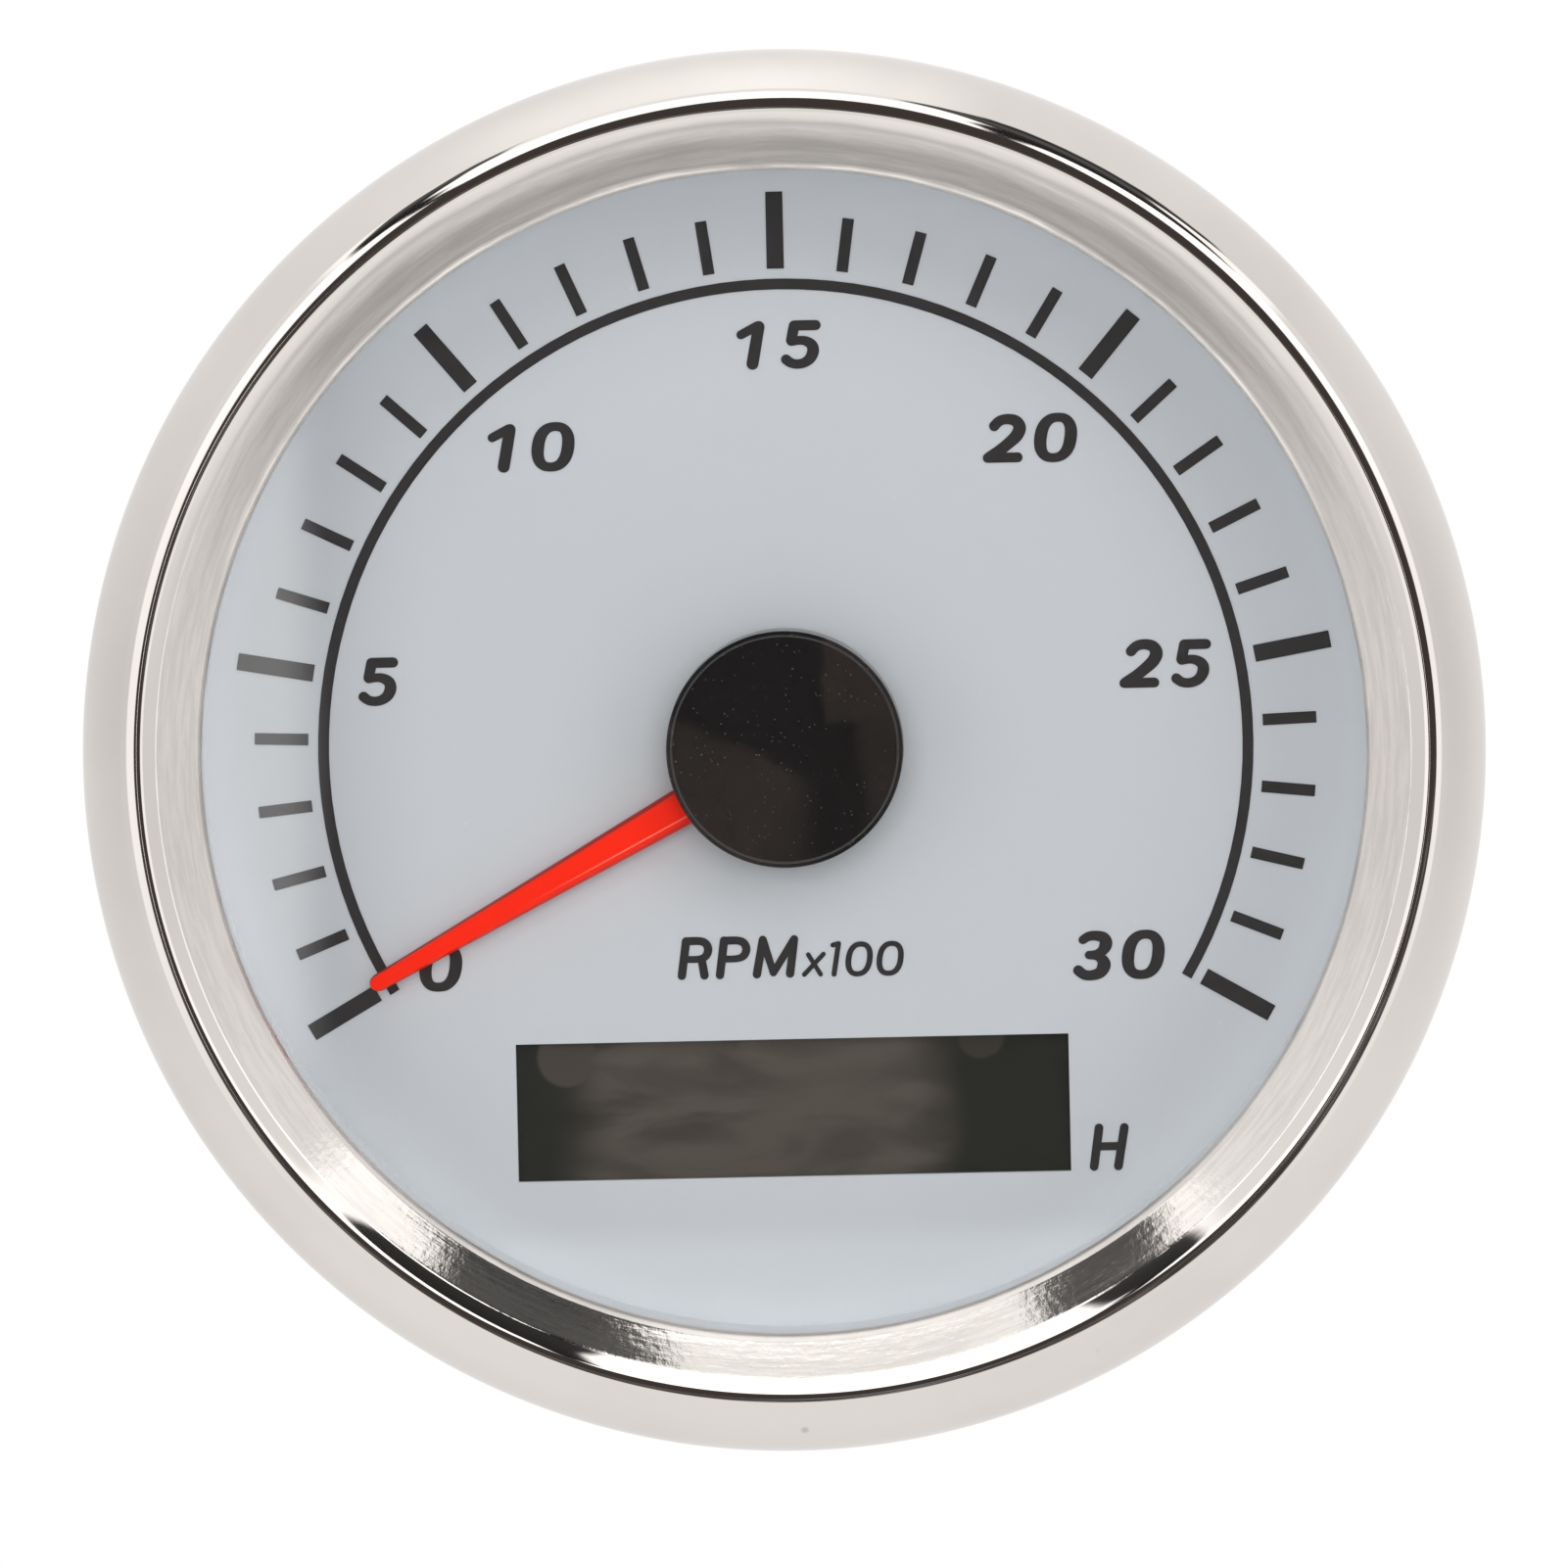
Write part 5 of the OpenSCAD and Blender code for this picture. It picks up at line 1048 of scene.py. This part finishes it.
def makeFloor():
    bm = bmesh.new()
    bmesh.ops.create_circle(bm, cap_ends=True, segments=96, radius=6.0)
    for v in bm.verts:
        v.co.z = studio["floorZ"]
    material, tree, shader = startMaterial("paleFloor")
    shader.inputs["Roughness"].default_value = 0.9
    mottle = noise(tree, objectPlace(tree), 3.0, 3.0)
    connect(tree, shader, mixColour(tree, mottle, (0.85, 0.85, 0.85, 1), (0.87, 0.87, 0.87, 1)))
    glow = node(tree, "ShaderNodeEmission", {"Color": (1, 1, 1, 1), "Strength": 1.0}).outputs[0]
    away = smoothStep(tree, vecCalc(tree, "LENGTH", objectPlace(tree)), 0.16, 0.34, 0.5, 1.0)
    seen = times(tree, node(tree, "ShaderNodeLightPath").outputs["Is Camera Ray"], away)
    both = node(tree, "ShaderNodeMixShader", {0: seen, 1: shader.outputs[0], 2: glow}).outputs[0]
    tree.links.new(both, tree.nodes["Material Output"].inputs["Surface"])
    floor = newPiece("floor", bm, material)
    floor.visible_glossy = False
    floor.visible_transmission = False


def byBearing(tree, bearing, table, top, blend="LINEAR"):
    # the table's values as shares of top, because a ramp holds 0 to 1
    return ramp(tree, bearing, [(a / 360 + 0.5, v / top) for a, v in table], blend)


def softStep(tree, value, width):
    return smoothStep(tree, value, -width, width)


def makeWorld():
    # white for the camera, an even soft light for what is matt, and for gloss soft boxes with dark gaps
    w = worldLook
    world = bpy.data.worlds.new("studioWorld")
    bpy.context.scene.world = world
    world.use_nodes = True
    tree = world.node_tree
    tree.nodes.clear()
    way = vecCalc(tree, "NORMALIZE", node(tree, "ShaderNodeTexCoord").outputs["Generated"])
    x, y, z = axes(tree, way)
    polar = times(tree, calc(tree, "ARCCOSINE", times(tree, y, -1.0)), 180 / math.pi)
    turn = calc(tree, "ARCTAN2", x, z)
    bearing = timesPlus(tree, turn, 0.5 / math.pi, 0.5)
    near, far, side, rear = (byBearing(tree, bearing, w[zone], 2, "EASE")
                             for zone in ("near", "far", "side", "rear"))
    side = mixColour(tree, smoothStep(tree, polar, *w["sideEnd"]), side, rear)
    far = mixColour(tree, smoothStep(tree, polar, *w["farEnd"]), far, side)
    past = timesPlus(tree, byBearing(tree, bearing, w["nearReach"], 40), -40.0, polar)
    tent = mixColour(tree, softStep(tree, past, w["nearSoft"]), near, far)
    tent = vecCalc(tree, "MULTIPLY", tent, (2, 2, 2))
    degrees = times(tree, turn, 180 / math.pi)
    fringe = noise(tree, vector(tree, times(tree, degrees, 0.16), 0.0, 0.0), 1.0, 3.0)
    wobble = noise(tree, way, 14.0, 4.0)
    degrees = timesPlus(tree, minus(tree, wobble, 0.5), 6.0, degrees)
    out = calc(tree, "DIVIDE", polar, 50.0)
    shade = ramp(tree, out, [(p / 50, v) for p, v in w["gapShade"]])
    for gap in w["gaps"]:
        low, high = (timesPlus(tree, ramp(tree, out, [(p / 50, (b + 60) / 120) for p, b in gap[edge]]),
                               120.0, -60.0) for edge in ("low", "high"))
        inside = times(tree, softStep(tree, minus(tree, degrees, low), w["gapSoft"]),
                       softStep(tree, minus(tree, high, degrees), w["gapSoft"]))
        left = timesPlus(tree, minus(tree, fringe, 0.5), 2 * gap["ragged"], minus(tree, gap["end"], polar))
        inside = times(tree, inside, softStep(tree, left, w["endSoft"]))
        tent = mixColour(tree, inside, tent, shade)
    veil = smoothStep(tree, noise(tree, way, 55.0, 2.0, distortion=0.8), 0.5, 0.7)
    veil = times(tree, veil, smoothStep(tree, z, -0.045, -0.07))
    card = 1.0
    for value, edges in ((x, w["cardX"]), (z, w["cardZ"])):
        for edge in edges:
            card = times(tree, card, smoothStep(tree, value, *edge))
    front = mixColour(tree, card, mixColour(tree, veil, w["front"], w["veil"]), w["card"])
    clear = timesPlus(tree, byBearing(tree, bearing, w["frontReach"], 20), -20.0, polar)
    gloss = mixColour(tree, softStep(tree, clear, w["frontSoft"]), front, tent)
    path = node(tree, "ShaderNodeLightPath").outputs
    shiny = calc(tree, "MAXIMUM", path["Is Glossy Ray"], path["Is Transmission Ray"])
    soft = mixColour(tree, smoothStep(tree, z, -0.6, 0.8), (0.9, 0.9, 0.92, 1), (1.0, 1.0, 1.0, 1))
    soft = vecCalc(tree, "MULTIPLY", soft, (studio["ambient"],) * 3)
    colour = mixColour(tree, path["Is Camera Ray"], mixColour(tree, shiny, soft, gloss), (1, 1, 1, 1))
    back = node(tree, "ShaderNodeBackground", {"Color": colour, "Strength": 1.0}).outputs[0]
    node(tree, "ShaderNodeOutputWorld", {"Surface": back})


def makeLamp(name, place, size, power):
    data = bpy.data.lights.new(name, "AREA")
    data.shape = "RECTANGLE"
    data.size, data.size_y = size
    data.energy = power
    lamp = bpy.data.objects.new(name, data)
    lamp.location = place
    lamp.rotation_mode = "QUATERNION"
    lamp.rotation_quaternion = (-Vector(place)).to_track_quat("-Z", "Y")
    lamp.visible_glossy = False
    lamp.visible_transmission = False
    bpy.context.scene.collection.objects.link(lamp)


makeFloor()
makeWorld()
for lampSizes in studio["lamps"]:
    makeLamp(*lampSizes)
bpy.context.scene.view_settings.view_transform = "Standard"

cameraSizes = {"azimuth": 0.9, "elevation": 2.6, "roll": 1.235, "distance": 1.2, "lens": 402.7,
               "aim": (0.0, -0.00375, 0.0), "lower": 0.00225}


def makeCamera():
    s = cameraSizes
    data = bpy.data.cameras.new("camera")
    data.sensor_width = 36.0
    data.lens = s["lens"]
    camera = bpy.data.objects.new("camera", data)
    a, e = math.radians(s["azimuth"]), math.radians(s["elevation"])
    back = Vector((math.sin(a) * math.cos(e), -math.cos(a) * math.cos(e), math.sin(e)))
    aimed = (-back).to_track_quat("-Z", "Y") @ Quaternion((0, 0, 1), -math.radians(s["roll"]))
    camera.rotation_mode = "QUATERNION"
    camera.rotation_quaternion = aimed
    camera.location = Vector(s["aim"]) + back * s["distance"] - aimed @ Vector((0, 1, 0)) * s["lower"]
    data.clip_start, data.clip_end = 0.01, 50.0
    bpy.context.scene.collection.objects.link(camera)
    bpy.context.scene.camera = camera


makeCamera()
print("studio and camera set")
